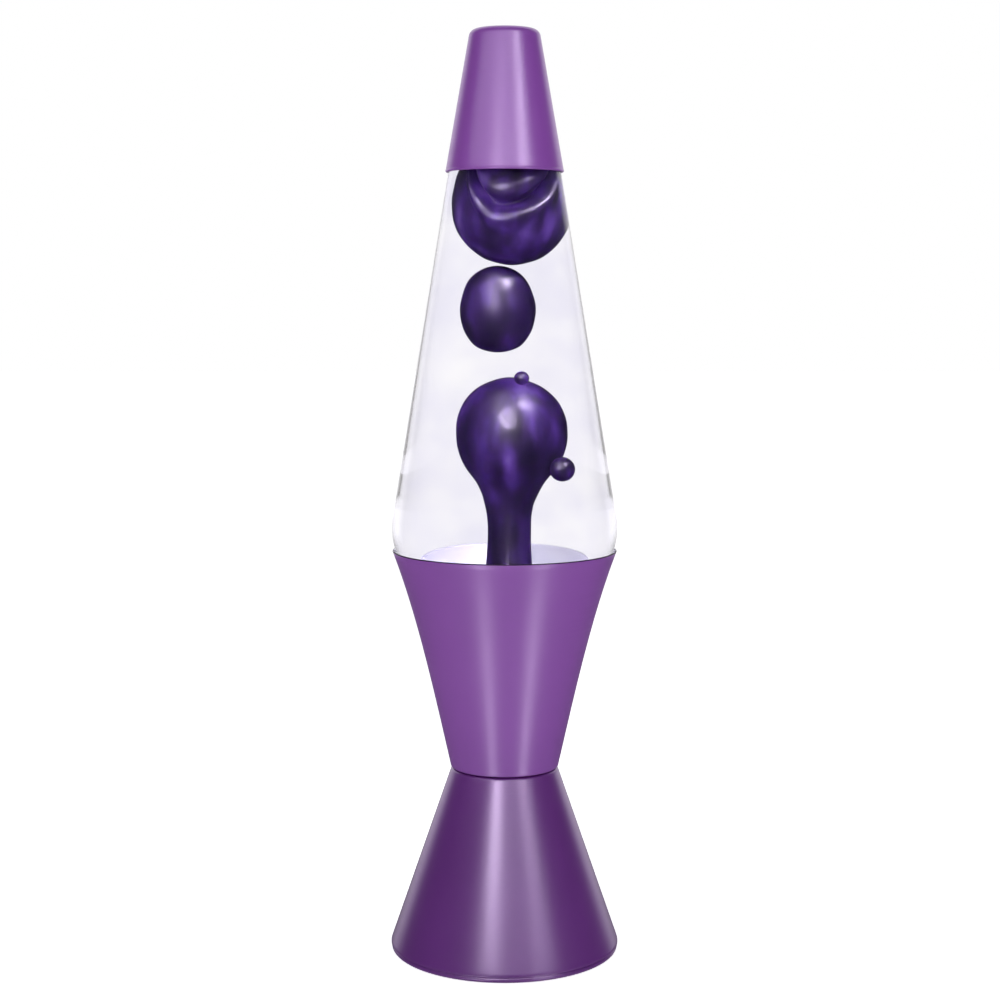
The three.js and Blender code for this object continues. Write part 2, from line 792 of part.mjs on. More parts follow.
// ---------- Cap ----------

function topCap() {
  const height = TOTAL_HEIGHT - CAP_SEAT;
  const tilt = THREE.MathUtils.radToDeg(Math.atan(CAP_TAPER));
  const cornerHeight = height - CAP_CORNER;
  const cornerWall = CAP_RADIUS - CAP_TAPER * cornerHeight;
  const corner = at(cornerWall - CAP_CORNER * Math.hypot(1, CAP_TAPER), cornerHeight);
  const outline = [
    at(0, height - SHEET),
    ...arc(corner, CAP_CORNER - SHEET, 90, tilt, 4),
    at(CAP_RADIUS - SHEET, 0),
    at(CAP_RADIUS, 0),
    ...arc(corner, CAP_CORNER, tilt, 90, 4),
    at(0, height),
  ];
  return turned(outline, LARGE);
}

// ---------- The lamp ----------

const base = assembly(
  0,
  piece("lower_cone", lowerCone(), brushedPurple),
  piece("upper_cone", upperCone(), satinPurple),
  piece("cord_grommet", cordGrommet(), rubber),
  piece("socket_bracket", socketBracket(), steel),
  ...bracketFasteners(),
  ...nippleParts(),
  piece("socket_body", socketBody(), phenolic),
  piece("socket_shell", socketShell(), brass),
  piece("socket_contact", socketContact(), brass),
  ...terminalScrews(),
  piece("bottom_cover", bottomCover(), blackPlastic),
  ...feet(),
);

const bulb = assembly(
  BULB_SEAT,
  piece("bulb_contact", bulbContact(), nickel),
  piece("bulb_insulator", bulbInsulator(), phenolic),
  piece("bulb_shell", bulbShell(), nickel),
  piece("bulb_glass", bulbGlass(), glass),
  piece("bulb_stem", bulbStem(), glass),
  piece("bulb_filament", bulbFilament(), tungsten),
);

const bottle = assembly(
  BOTTLE_SEAT,
  piece("glass_bottle", glassBottle(), glass),
  piece("crown_cap", crownCap(), steel),
  piece("crown_liner", crownLiner(), liner),
  piece("heat_coil", heatCoil(), steel),
  piece("liquid", liquid(), liquidClear),
  piece("wax_column", waxColumn(), wax),
  waxBlob("wax_top", blobOutline(topBlobSides), TOP_BLOB_PLACE, MEDIUM),
  waxBlob("wax_middle", blobOutline(middleBlobSides), MIDDLE_BLOB_PLACE, MEDIUM),
  waxBlob("wax_bead_small", beadOutline(SMALL_BEAD), SMALL_BEAD.place, SMALL),
  waxBlob("wax_bead_side", beadOutline(SIDE_BEAD), SIDE_BEAD.place, SMALL),
);

const cap = assembly(CAP_SEAT, piece("top_cap", topCap(), satinPurple));

const lamp = new THREE.Group();
lamp.add(base, bulb, bottle, cap);

export default lamp;
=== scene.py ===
import math

import bmesh
import bpy
from mathutils import Matrix, Vector, noise


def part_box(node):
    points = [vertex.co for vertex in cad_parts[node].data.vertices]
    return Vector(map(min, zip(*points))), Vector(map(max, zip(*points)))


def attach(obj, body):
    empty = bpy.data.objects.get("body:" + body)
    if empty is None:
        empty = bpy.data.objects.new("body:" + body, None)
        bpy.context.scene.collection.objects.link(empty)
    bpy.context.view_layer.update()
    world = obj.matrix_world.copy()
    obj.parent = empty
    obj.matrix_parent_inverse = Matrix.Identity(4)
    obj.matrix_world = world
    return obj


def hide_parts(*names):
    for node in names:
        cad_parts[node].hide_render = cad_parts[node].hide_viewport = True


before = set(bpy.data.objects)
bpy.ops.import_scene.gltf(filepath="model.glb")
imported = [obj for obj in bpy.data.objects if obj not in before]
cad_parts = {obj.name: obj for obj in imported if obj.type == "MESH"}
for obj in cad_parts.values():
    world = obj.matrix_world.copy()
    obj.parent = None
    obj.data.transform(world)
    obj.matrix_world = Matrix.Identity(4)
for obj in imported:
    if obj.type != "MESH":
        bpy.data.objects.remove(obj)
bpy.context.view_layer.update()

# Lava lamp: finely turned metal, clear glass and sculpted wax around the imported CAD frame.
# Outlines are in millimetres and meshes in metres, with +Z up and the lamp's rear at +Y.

MM = 0.001
ROUND = 160  # segments of a large turned piece
SMALL_ROUND = 64
ON_AXIS = 1e-6  # a radius that counts as none


# ---------- Sizes, from the frame and from the part's own design ----------

def heights(node):
    """Lowest and highest height of a CAD node, in millimetres."""
    low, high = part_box(node)
    return low.z / MM, high.z / MM


def reach(node):
    """Radius of a CAD node that is turned about the lamp's axis, in millimetres."""
    low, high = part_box(node)
    return (high.x - low.x) / 2 / MM


def middle(node):
    """Centre of a CAD node's box, in millimetres."""
    low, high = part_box(node)
    return (low + high) / 2 / MM


SHEET = 0.8  # wall of the spun cones and of the cap
EDGE_BOTTOM, LOWER_TOP = heights("lower_cone")
UPPER_BOTTOM, RIM_TOP = heights("upper_cone")
RIM_RADIUS = reach("upper_cone")
FLANGE_HOLE = 14
LOWER_WAIST_RADIUS = 21.44
LOWER_TAPER = 0.3455
SHOULDER_BEND = 1.5
CURL_RADIUS = 2.7
UPPER_WAIST_RADIUS = 21.65
UPPER_TAPER = 0.222
FLARE_POWER = 3.5
BOLT_OFFSET = middle("bracket_screw_2").x

BOTTLE_SEAT, MOUTH = heights("glass_bottle")
GLASS = 2.3
BOTTLE_RADIUS = 45.1
SHOULDER_HEIGHT = BOTTLE_SEAT + 40.5
SHOULDER_ARC = 30
LOWER_WALL_TAPER = 0.36
FLOOR_CORNER = 5
NECK_RADIUS = 12
BORE_RADIUS = 8.2
GLASS_UNDER_CAP = 22.2
LIQUID_LEVEL = heights("liquid")[1]

CAP_SEAT, CAP_TOP = heights("top_cap")
CAP_RADIUS = reach("top_cap")
CAP_TAPER = 0.177
CAP_CORNER = 3.2

BULB_SEAT, BULB_TIP = heights("bulb_contact")[0], heights("bulb_glass")[1]
BULB_RADIUS = reach("bulb_glass")
THREAD_PITCH = 1.814
POOL_TOP = BOTTLE_SEAT + 9


# ---------- Mesh helpers ----------

def arc(centre, radius, start, end, steps):
    """Points of an arc in the (radius, height) plane, between two angles in degrees."""
    angles = [math.radians(start + (end - start) * step / steps) for step in range(steps + 1)]
    return [(centre[0] + radius * math.cos(a), centre[1] + radius * math.sin(a)) for a in angles]


def straight(start, end, steps):
    """Points from start up to, but not with, end."""
    shares = [step / steps for step in range(steps)]
    return [(start[0] + (end[0] - start[0]) * s, start[1] + (end[1] - start[1]) * s) for s in shares]


def bezier(a, b, c, d, steps):
    """Points of a cubic curve from a to d, pulled towards b and c."""
    points = []
    for step in range(steps + 1):
        t = step / steps
        weights = ((1 - t) ** 3, 3 * t * (1 - t) ** 2, 3 * t * t * (1 - t), t ** 3)
        points.append(tuple(sum(w * p[axis] for w, p in zip(weights, (a, b, c, d))) for axis in (0, 1)))
    return points


def spline(knots, steps):
    """A Catmull-Rom curve through the knots, which crosses the axis squarely where it meets it."""
    mirror = {0: (-knots[1][0], knots[1][1]), len(knots) - 1: (-knots[-2][0], knots[-2][1])}
    points = []
    spans = len(knots) - 1
    for step in range(steps + 1):
        place = spans * step / steps
        index = min(int(place), spans - 1)
        t = place - index
        near = [knots[max(0, min(spans, index + offset))] for offset in (-1, 0, 1, 2)]
        if index == 0 and knots[0][0] == 0:
            near[0] = mirror[0]
        if index == spans - 1 and knots[-1][0] == 0:
            near[3] = mirror[spans]
        point = []
        for axis in (0, 1):
            p0, p1, p2, p3 = (knot[axis] for knot in near)
            v0, v1 = (p2 - p0) / 2, (p3 - p1) / 2
            cubic = (2 * p1 - 2 * p2 + v0 + v1) * t ** 3
            square = (-3 * p1 + 3 * p2 - 2 * v0 - v1) * t ** 2
            point.append(cubic + square + v0 * t + p1)
        points.append(tuple(point))
    return points


def new_object(name, mesh, looks):
    for look in looks:
        mesh.materials.append(look)
    piece = bpy.data.objects.new(name, mesh)
    bpy.context.scene.collection.objects.link(piece)
    return piece


def smooth(mesh, sharp_degrees=38):
    mesh.shade_smooth()
    mesh.set_sharp_from_angle(angle=math.radians(sharp_degrees))


def turned(name, outline, looks, segments=ROUND, place=(0, 0), swell=None, changes=()):
    """A mesh turned about +Z. The outline runs anticlockwise, from axis to axis or round a ring.
    swell(angle, height) is added to the radius. Each row in changes starts the next of the looks."""
    vertices = []
    rings = []
    for radius, height in outline:
        first = len(vertices)
        if radius < ON_AXIS:
            vertices.append((place[0] * MM, place[1] * MM, height * MM))
            rings.append([first] * segments)
            continue
        for step in range(segments):
            angle = 2 * math.pi * step / segments
            out = radius + (swell(angle, height) if swell else 0)
            x = place[0] + out * math.cos(angle)
            y = place[1] + out * math.sin(angle)
            vertices.append((x * MM, y * MM, height * MM))
        rings.append(list(range(first, first + segments)))
    if outline[0][0] > ON_AXIS:
        rings.append(rings[0])
    faces = []
    rows = []
    for row, (lower, upper) in enumerate(zip(rings, rings[1:])):
        for step in range(segments):
            after = (step + 1) % segments
            corners = [lower[step], lower[after], upper[after], upper[step]]
            faces.append(list(dict.fromkeys(corners)))
            rows.append(row)
    mesh = bpy.data.meshes.new(name)
    mesh.from_pydata(vertices, [], faces)
    for polygon, row in zip(mesh.polygons, rows):
        polygon.material_index = sum(row >= change for change in changes)
    smooth(mesh)
    return new_object(name, mesh, looks)


def evaluated_mesh(holder):
    """The mesh that an object's modifiers or curve settings make."""
    bpy.context.view_layer.update()
    evaluated = holder.evaluated_get(bpy.context.evaluated_depsgraph_get())
    return bpy.data.meshes.new_from_object(evaluated)


def drill(piece, holes):
    """Cuts round holes. Each is a centre, a direction, a radius and a length, in millimetres."""
    for centre, direction, radius, length in holes:
        cutter_mesh = bpy.data.meshes.new("cutter")
        shape = bmesh.new()
        turn = Vector(direction).to_track_quat("Z", "Y").to_matrix().to_4x4()
        bmesh.ops.create_cone(
            shape,
            cap_ends=True,
            segments=48,
            radius1=radius * MM,
            radius2=radius * MM,
            depth=length * MM,
            matrix=Matrix.Translation(Vector(centre) * MM) @ turn,
        )
        shape.to_mesh(cutter_mesh)
        shape.free()
        cutter = new_object("cutter", cutter_mesh, [])
        hole = piece.modifiers.new("hole", "BOOLEAN")
        hole.operation = "DIFFERENCE"
        hole.solver = "EXACT"
        hole.object = cutter
        piece.data = evaluated_mesh(piece)
        piece.modifiers.clear()
        bpy.data.objects.remove(cutter)
    smooth(piece.data)
    return piece


def wire(name, points, radius, look, smoothness=3):
    """A round wire along points in millimetres, closed at both ends."""
    curve = bpy.data.curves.new(name, "CURVE")
    curve.dimensions = "3D"
    curve.bevel_depth = radius * MM
    curve.bevel_resolution = smoothness
    curve.use_fill_caps = True
    route = curve.splines.new("POLY")
    route.points.add(len(points) - 1)
    for spot, point in zip(route.points, points):
        spot.co = (*(value * MM for value in point), 1)
    holder = bpy.data.objects.new(name + "_route", curve)
    bpy.context.scene.collection.objects.link(holder)
    mesh = evaluated_mesh(holder)
    bpy.data.objects.remove(holder)
    mesh.materials.clear()
    mesh.shade_smooth()
    return new_object(name, mesh, [look])


def stand_for(piece, body, slot, *nodes):
    """The piece rides on a CAD body and stands for CAD nodes, which it hides. The slot is not used."""
    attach(piece, body)
    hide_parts(*nodes)


# ---------- Material helpers ----------

def add(tree, kind, inputs=None, **settings):
    """A new node. An input given as a socket is linked, and any other value is set."""
    node = tree.nodes.new(kind)
    for key, value in settings.items():
        setattr(node, key, value)
    for key, value in (inputs or {}).items():
        if isinstance(value, bpy.types.NodeSocket):
            tree.links.new(value, node.inputs[key])
        else:
            node.inputs[key].default_value = value
    return node


def maths(tree, operation, *inputs, clamp=False):
    """The result of a Math node. Each input is a number or a socket."""
    settings = {"operation": operation, "use_clamp": clamp}
    return add(tree, "ShaderNodeMath", dict(enumerate(inputs)), **settings).outputs[0]


def linear(hex_colour):
    """A colour written as in a web page, as linear red, green, blue and alpha."""
    channels = [int(hex_colour[start : start + 2], 16) / 255 for start in (1, 3, 5)]
    return tuple(c / 12.92 if c < 0.04045 else ((c + 0.055) / 1.055) ** 2.4 for c in channels) + (1,)


def blank(name):
    """A new material, with its node tree and its shader."""
    look = bpy.data.materials.new(name)
    look.use_nodes = True
    return look, look.node_tree, look.node_tree.nodes["Principled BSDF"]


def fixed(shader, **sockets):
    """Sets sockets to constants. An underscore stands for a space in a socket's name."""
    for key, value in sockets.items():
        shader.inputs[key.replace("_", " ")].default_value = value


def mottle(tree, scale, stretch=(1, 1, 1), detail=3):
    """Noise over the piece's own coordinates. Scale is in cycles per metre."""
    place = add(tree, "ShaderNodeTexCoord")
    stretched = add(tree, "ShaderNodeMapping", {"Vector": place.outputs["Object"], "Scale": stretch})
    inputs = {"Vector": stretched.outputs["Vector"], "Scale": scale, "Detail": detail}
    return add(tree, "ShaderNodeTexNoise", inputs).outputs["Fac"]


def ramp(tree, factor, stops):
    """A colour ramp. Each stop is a position and a linear colour."""
    node = add(tree, "ShaderNodeValToRGB", {"Fac": factor})
    elements = node.color_ramp.elements
    while len(elements) < len(stops):
        elements.new(0.5)
    for element, (position, colour) in zip(elements, stops):
        element.position = position
        element.color = colour
    return node.outputs["Color"]


def shades(tree, factor, *stops):
    """A colour ramp. Each stop is a position and a colour written as in a web page."""
    return ramp(tree, factor, [(position, linear(colour)) for position, colour in stops])


def between(tree, factor, low, high):
    """Noise spread over a range of values."""
    inputs = {"Value": factor, "From Min": 0.3, "From Max": 0.7, "To Min": low, "To Max": high}
    return add(tree, "ShaderNodeMapRange", inputs).outputs["Result"]


def relief(tree, height, depth, strength=1):
    """A bump of a real depth in millimetres."""
    inputs = {"Height": height, "Distance": depth * MM, "Strength": strength}
    return add(tree, "ShaderNodeBump", inputs).outputs["Normal"]


def finish_with(tree, shader, colour=None, roughness=None, normal=None):
    """Links what varies over the surface to the shader."""
    for key, socket in (("Base Color", colour), ("Roughness", roughness), ("Normal", normal)):
        if socket is not None:
            tree.links.new(socket, shader.inputs[key])


# ---------- Materials ----------

SPIN_LINES = (1, 1, 90)  # stretch that turns noise into fine rings round the axis


def spun_purple():
    """Glossy dyed metal with the fine rings that spinning and brushing leave."""
    look, tree, shader = blank("spun_purple")
    rings = mottle(tree, 24, SPIN_LINES, 4)
    cloud = mottle(tree, 25)
    fixed(shader, Metallic=0.28, IOR=2.25, Anisotropic=0.4)
    colour = shades(tree, cloud, (0.3, "#5a1f74"), (0.7, "#61247c"))
    finish_with(tree, shader, colour, between(tree, rings, 0.28, 0.32), relief(tree, rings, 0.03, 0.06))
    tangent = add(tree, "ShaderNodeTangent", direction_type="RADIAL", axis="Z")
    tree.links.new(tangent.outputs["Tangent"], shader.inputs["Tangent"])
    return look


def satin_purple():
    """The softer satin of the upper cone and the cap."""
    look, tree, shader = blank("satin_purple")
    rings = mottle(tree, 12, SPIN_LINES, 2)
    cloud = mottle(tree, 18)
    fixed(shader, Metallic=0.15, IOR=2.1)
    colour = shades(tree, cloud, (0.3, "#743991"), (0.7, "#7b3d98"))
    finish_with(tree, shader, colour, between(tree, rings, 0.3, 0.36), relief(tree, rings, 0.02, 0.12))
    return look


def bare_aluminium():
    """The pale unpainted inside of the cones and of the cap."""
    look, tree, shader = blank("bare_aluminium")
    rings = mottle(tree, 14, SPIN_LINES, 3)
    fixed(shader, Metallic=0.2)
    colour = shades(tree, rings, (0.3, "#ececf0"), (0.7, "#f6f6f9"))
    finish_with(tree, shader, colour, between(tree, rings, 0.5, 0.6), relief(tree, rings, 0.03, 0.1))
    return look


def painted_shade_line():
    """Painted shade: a thin dark line on the upper cone's rim lip and waist, for the shade in the gaps."""
    look, tree, shader = blank("painted_shade_line")
    cloud = mottle(tree, 200)
    colour = shades(tree, cloud, (0.3, "#1c0b28"), (0.7, "#26112f"))
    finish_with(tree, shader, colour, between(tree, cloud, 0.5, 0.6))
    return look


def lit_through(tree, shader, tint):
    """Lets the lights' rays pass straight through a glassy shader, so that what is inside is lit."""
    path = add(tree, "ShaderNodeLightPath")
    clear = add(tree, "ShaderNodeBsdfTransparent", {"Color": linear(tint)})
    mix = add(tree, "ShaderNodeMixShader", {0: path.outputs["Is Shadow Ray"], 1: shader.outputs["BSDF"]})
    tree.links.new(clear.outputs["BSDF"], mix.inputs[2])
    tree.links.new(mix.outputs["Shader"], tree.nodes["Material Output"].inputs["Surface"])


def clear_glass(name, tint, ior, ripple, gloss):
    """Glass or liquid. Gloss below 1 weakens what its faces mirror: a wetted face mirrors hardly
    anything, and the bottle's outer face is kept free of the studio's haze."""
    look, tree, shader = blank(name)
    fixed(shader, Transmission_Weight=1.0, IOR=ior, Roughness=0.0)
    fixed(shader, Specular_Tint=(gloss, gloss, gloss, 1))
    waves = mottle(tree, 40)
    colour = shades(tree, waves, (0.3, tint), (0.7, "#ffffff"))
    finish_with(tree, shader, colour, normal=relief(tree, waves, ripple, 0.3))
    lit_through(tree, shader, "#f4f2fa")
    return look


def pearl_wax():
    """Deep violet wax with drawn-out pearly streaks."""
    look, tree, shader = blank("pearl_wax")
    streaks = mottle(tree, 170, (1, 1, 0.3), 4)
    clouds = mottle(tree, 75, (1, 1, 0.7), 2)
    mixed = maths(tree, "MULTIPLY", maths(tree, "ADD", streaks, clouds), 0.5)
    fixed(shader, IOR=2.0, Specular_Tint=(0.95, 0.84, 1, 1))
    stops = ((0.38, "#16072f"), (0.48, "#260d48"), (0.55, "#371965"), (0.62, "#4c2b80"), (0.7, "#6c5299"))
    colour = shades(tree, mixed, *stops)
    finish_with(tree, shader, colour, between(tree, streaks, 0.28, 0.33))
    return look


def plated(name, dark, light, roughness, scale=60):
    """Small plated or drawn metal parts."""
    look, tree, shader = blank(name)
    wear = mottle(tree, scale)
    fixed(shader, Metallic=1.0)
    finish_with(
        tree,
        shader,
        shades(tree, wear, (0.3, dark), (0.7, light)),
        between(tree, wear, roughness, roughness + 0.14),
        relief(tree, mottle(tree, 1200), 0.02, 0.3),
    )
    return look


def moulded(name, dark, light, roughness, grain, depth):
    """Rubber and moulded plastics, with a fine grain."""
    look, tree, shader = blank(name)
    cloud = mottle(tree, 45)
    texture = mottle(tree, grain, detail=2)
    finish_with(
        tree,
        shader,
        shades(tree, cloud, (0.3, dark), (0.7, light)),
        between(tree, texture, roughness, roughness + 0.15),
        relief(tree, texture, depth, 0.4),
    )
    return look


spun = spun_purple()
satin = satin_purple()
aluminium = bare_aluminium()
# Painted shade for the upper cone's rim lip and waist.
edge = painted_shade_line()
glass = clear_glass("bottle_glass", "#f8f8fc", ior=1.5, ripple=0.01, gloss=0.06)
wet_glass = clear_glass("wet_glass", "#f8f8fc", ior=1.5, ripple=0.01, gloss=0.05)
fluid = clear_glass("clear_liquid", "#f8f7fc", ior=1.33, ripple=0.0, gloss=0.05)
lamp_glass = clear_glass("bulb_glass", "#f2f4f4", ior=1.45, ripple=0.005, gloss=1.0)
wax = pearl_wax()
steel = plated("zinc_steel", "#8f9296", "#bcbec2", 0.3)
nickel = plated("nickel", "#a7a59c", "#cbc9c0", 0.2)
brass = plated("brass", "#a87f35", "#d0a650", 0.25)
tinplate = plated("tinplate", "#b9babc", "#d9dadc", 0.22, 90)
tungsten = plated("tungsten", "#55555a", "#77777c", 0.35)
rubber = moulded("black_rubber", "#101011", "#1b1b1c", 0.62, 1500, 0.03)
plastic = moulded("black_plastic", "#151516", "#202022", 0.42, 2200, 0.04)
phenolic = moulded("phenolic", "#120e0b", "#241b15", 0.36, 900, 0.02)
black_glass = moulded("black_glass", "#08080a", "#141418", 0.12, 300, 0.01)
liner = moulded("cap_liner", "#cfcfc6", "#e2e2da", 0.6, 800, 0.03)


# ---------- Base ----------

def lower_radius(height):
    return LOWER_WAIST_RADIUS + LOWER_TAPER * (LOWER_TOP - height)


def upper_radius(height):
    waist = (LOWER_TOP + UPPER_BOTTOM) / 2
    share = (height - waist) / (RIM_TOP - waist)
    flare = RIM_RADIUS - UPPER_WAIST_RADIUS - UPPER_TAPER * (RIM_TOP - waist)
    return UPPER_WAIST_RADIUS + UPPER_TAPER * (height - waist) + flare * max(share, 0) ** FLARE_POWER


GROMMET_HEIGHT = 16
REAR_NORMAL = (0, 1, LOWER_TAPER)
UPWARD = (0, 0, 1)
CUT = 8  # length of a cutter, enough to pass right through a wall
BOLT_HOLE_RADIUS = 1.75
CORD_HOLE_RADIUS = 4.3


def bolt_holes(height):
    return [((x, 0, height), UPWARD, BOLT_HOLE_RADIUS, CUT) for x in (-BOLT_OFFSET, BOLT_OFFSET)]


def make_lower_cone():
    """The wall bends over at the top and ends in a rolled bead under a fine step."""
    tilt = math.degrees(math.atan(LOWER_TAPER))
    slant = math.hypot(1, LOWER_TAPER)
    bend_height = LOWER_TOP - SHOULDER_BEND
    bend = (lower_radius(bend_height) - SHOULDER_BEND * slant, bend_height)
    curl_height = EDGE_BOTTOM + CURL_RADIUS
    curl = (lower_radius(curl_height) - CURL_RADIUS * slant, curl_height)
    bead_radius = 1.2
    bead = (curl[0] + 1.25, EDGE_BOTTOM + bead_radius)
    outside = [
        *arc(curl, CURL_RADIUS, 180, 270, 10),
        *arc(bead, bead_radius, -90, 60, 14),
        (curl[0] + 1.95, curl_height - 0.42),
        *arc(curl, CURL_RADIUS, -5, tilt, 6)[:-1],
        *straight(arc(curl, CURL_RADIUS, tilt, tilt, 1)[0], arc(bend, SHOULDER_BEND, tilt, tilt, 1)[0], 30),
        *arc(bend, SHOULDER_BEND, tilt, 90, 8),
        (FLANGE_HOLE, LOWER_TOP),
    ]
    inner_bend = arc(bend, SHOULDER_BEND - SHEET, 90, tilt, 6)
    inner_curl = arc(curl, CURL_RADIUS - 1.1, 360 + tilt, 180, 14)
    inside = [
        (FLANGE_HOLE, LOWER_TOP - SHEET),
        *inner_bend[:-1],
        *straight(inner_bend[-1], inner_curl[0], 20),
        *inner_curl,
    ]
    cone = turned("spun_lower_cone", outside + inside, [spun, aluminium], changes=[len(outside)])
    cord_centre = (0, lower_radius(GROMMET_HEIGHT), GROMMET_HEIGHT)
    cord_hole = (cord_centre, REAR_NORMAL, CORD_HOLE_RADIUS, CUT)
    drill(cone, [*bolt_holes(LOWER_TOP), cord_hole])
    stand_for(cone, "base", "brushed_purple_metal", "lower_cone")


def make_upper_cone():
    """The wall bends out of its flange at the waist and ends in a rounded rim."""
    rows = 40
    bend = 0.9
    lip = SHEET / 2
    start = UPPER_BOTTOM + bend
    stop = RIM_TOP - lip
    wall = [start + (stop - start) * row / rows for row in range(rows + 1)]
    bend_centre = (upper_radius(start) - bend, start)
    lip_centre = (upper_radius(stop) - lip, stop)
    outside = [
        (FLANGE_HOLE, UPPER_BOTTOM),
        *arc(bend_centre, bend, -90, 0, 6)[:-1],
        *[(upper_radius(height), height) for height in wall[:-1]],
        *arc(lip_centre, lip, 0, 90, 5),
    ]
    inside = [
        *arc(lip_centre, lip, 90, 180, 5)[1:],
        *[(upper_radius(height) - SHEET, height) for height in reversed(wall[2:-1])],
        (upper_radius(start) - SHEET - 0.5, UPPER_BOTTOM + SHEET),
        (FLANGE_HOLE, UPPER_BOTTOM + SHEET),
    ]
    wall_start = 4
    lip_start = len(outside) - 6
    # The first and third looks paint shade on the waist's flange and bend and on the rim's lip.
    looks = [edge, satin, edge, aluminium]
    changes = [wall_start, lip_start, lip_start + 5]
    cone = turned("satin_upper_cone", outside + inside, looks, changes=changes)
    drill(cone, bolt_holes(UPPER_BOTTOM))
    stand_for(cone, "base", "satin_purple_metal", "upper_cone")


def make_grommet():
    """A rubber bush with rounded flanges, square to the wall at the rear."""
    bore = 3
    neck = 4
    outer = arc((5.1, 1.45), 0.85, 90, 0, 6)
    outline = [
        (bore, -3.1),
        (bore + 0.2, -3.3),
        (5.0, -3.3),
        *arc((5.0, -2.7), 0.6, -90, 0, 5)[1:],
        (5.6, -1.6),
        (neck, -1.6),
        (neck, 0.35),
        (5.95, 0.35),
        *reversed(outer),
        *arc((bore + 0.5, 1.8), 0.5, 90, 180, 5),
    ]
    grommet = turned("cord_bush", outline, [rubber], SMALL_ROUND)
    lean = Vector(REAR_NORMAL).to_track_quat("Z", "Y").to_matrix().to_4x4()
    seat = Vector((0, lower_radius(GROMMET_HEIGHT), GROMMET_HEIGHT)) * MM
    grommet.data.transform(Matrix.Translation(seat) @ lean)
    stand_for(grommet, "base", "black_rubber", "cord_grommet")


def make_cover():
    """The plastic bottom cover, with rounded edges, a ring of vents and holes for the feet."""
    bottom, rim_top = heights("bottom_cover")
    rim = reach("bottom_cover") - 1
    floor_top = bottom + 1.6
    outline = [
        (0, bottom),
        (rim - 16, bottom),
        (rim - 15.5, bottom + 0.35),
        (rim - 14.5, bottom + 0.35),
        (rim - 14, bottom),
        *arc((rim - 0.8, bottom + 0.8), 0.8, -90, 0, 6),
        (rim, bottom + 4.2),
        *arc((rim + 0.6, bottom + 5), 0.4, -45, 90, 5),
        (rim - 1.2, rim_top),
        (rim - 1.4, rim_top - 0.2),
        *arc((rim - 2.2, floor_top + 0.8), 0.8, 0, -90, 4),
        (0, floor_top),
    ]
    cover = turned("vented_cover", outline, [plastic])
    vent_ring, vent_radius, foot_hole_radius = 20, 3, 2
    vents = []
    for index in range(8):
        angle = index * math.pi / 4
        centre = (vent_ring * math.cos(angle), vent_ring * math.sin(angle), bottom)
        vents.append((centre, UPWARD, vent_radius, CUT))
    foot_holes = []
    for index in range(1, 5):
        spot = middle(f"foot_{index}")
        foot_holes.append(((spot.x, spot.y, bottom), UPWARD, foot_hole_radius, CUT))
    drill(cover, vents + foot_holes)
    stand_for(cover, "base", "black_plastic", "bottom_cover")


def make_feet():
    """Rubber feet with a dished sole and a barbed stem."""
    for index in range(1, 5):
        node = f"foot_{index}"
        spot = middle(node)
        barb = 3.9
        outline = [
            (0, 0.25),
            (2.6, 0.2),
            (3.2, 0),
            (4.3, 0),
            *arc((4.3, 0.4), 0.4, -90, -10, 4)[1:],
            (5, 1.5),
            (4.8, 1.7),
            (1.7, 1.7),
            (1.7, barb),
            (2.6, barb),
            (1.4, barb + 1.6),
            (1.2, barb + 1.8),
            (0, barb + 1.8),
        ]
        sole = turned(f"rubber_foot_{index}", outline, [rubber], 48, (spot.x, spot.y))
        stand_for(sole, "base", "black_rubber", node)


def thread_rows(crest, root, bottom, rings, steps=8):
    """A rolled thread as a wave of rings from the bottom up."""
    rows = []
    for step in range(rings * steps + 1):
        wave = 0.5 - 0.5 * math.cos(2 * math.pi * step / steps)
        rows.append((root + (crest - root) * wave, bottom + step * THREAD_PITCH / steps))
    return rows


def make_socket_shell():
    """The holder's threaded brass shell."""
    bottom, top = heights("socket_shell")
    inside = thread_rows(8.95, 8.55, BULB_SEAT + 5.5, 4)
    outside = [(radius + 0.6, height) for radius, height in inside]
    outline = [
        (6, bottom),
        (9.15, bottom),
        *arc((9.15, bottom + 0.4), 0.4, -90, 0, 3)[1:],
        *outside,
        (9.15, top),
        (8.55, top),
        *reversed(inside),
        (8.95, bottom + 0.6),
        (6, bottom + 0.6),
    ]
    shell = turned("threaded_socket", outline, [brass], SMALL_ROUND)
    stand_for(shell, "base", "brass", "socket_shell")


# ---------- Bulb ----------

def make_bulb():
    """The glass envelope and its screw shell."""
    neck = 7.2
    dome = BULB_TIP - BULB_RADIUS

    def wall(inset):
        swell = bezier(
            (neck - inset, BULB_SEAT + 16.5),
            (neck - inset, BULB_SEAT + 27),
            (BULB_RADIUS - inset, BULB_SEAT + 30),
            (BULB_RADIUS - inset, dome),
            20,
        )
        top = arc((0, dome), BULB_RADIUS - inset, 0, 90, 16)[1:-1]
        return [(neck - inset, BULB_SEAT + 10), *swell, *top, (0, dome + BULB_RADIUS - inset)]

    outline = [*reversed(wall(0.7)), *wall(0)]
    envelope = turned("bulb_envelope", outline, [lamp_glass], 96)
    stand_for(envelope, "bulb", "bulb_glass", "bulb_glass")

    inner = neck + 0.3
    shell_bottom = heights("bulb_shell")[0]
    threads = thread_rows(8.2, 7.95, BULB_SEAT + 5.5, 4)
    shell_outline = [
        (inner, shell_bottom),
        (7.7, shell_bottom),
        *threads,
        (8.1, BULB_SEAT + 13),
        (8.2, BULB_SEAT + 13.4),
        (8.2, BULB_SEAT + 16.3),
        (8.0, BULB_SEAT + 16.5),
        (inner, BULB_SEAT + 16.5),
    ]
    shell = turned("bulb_screw_shell", shell_outline, [nickel], SMALL_ROUND)
    stand_for(shell, "bulb", "nickel", "bulb_shell")


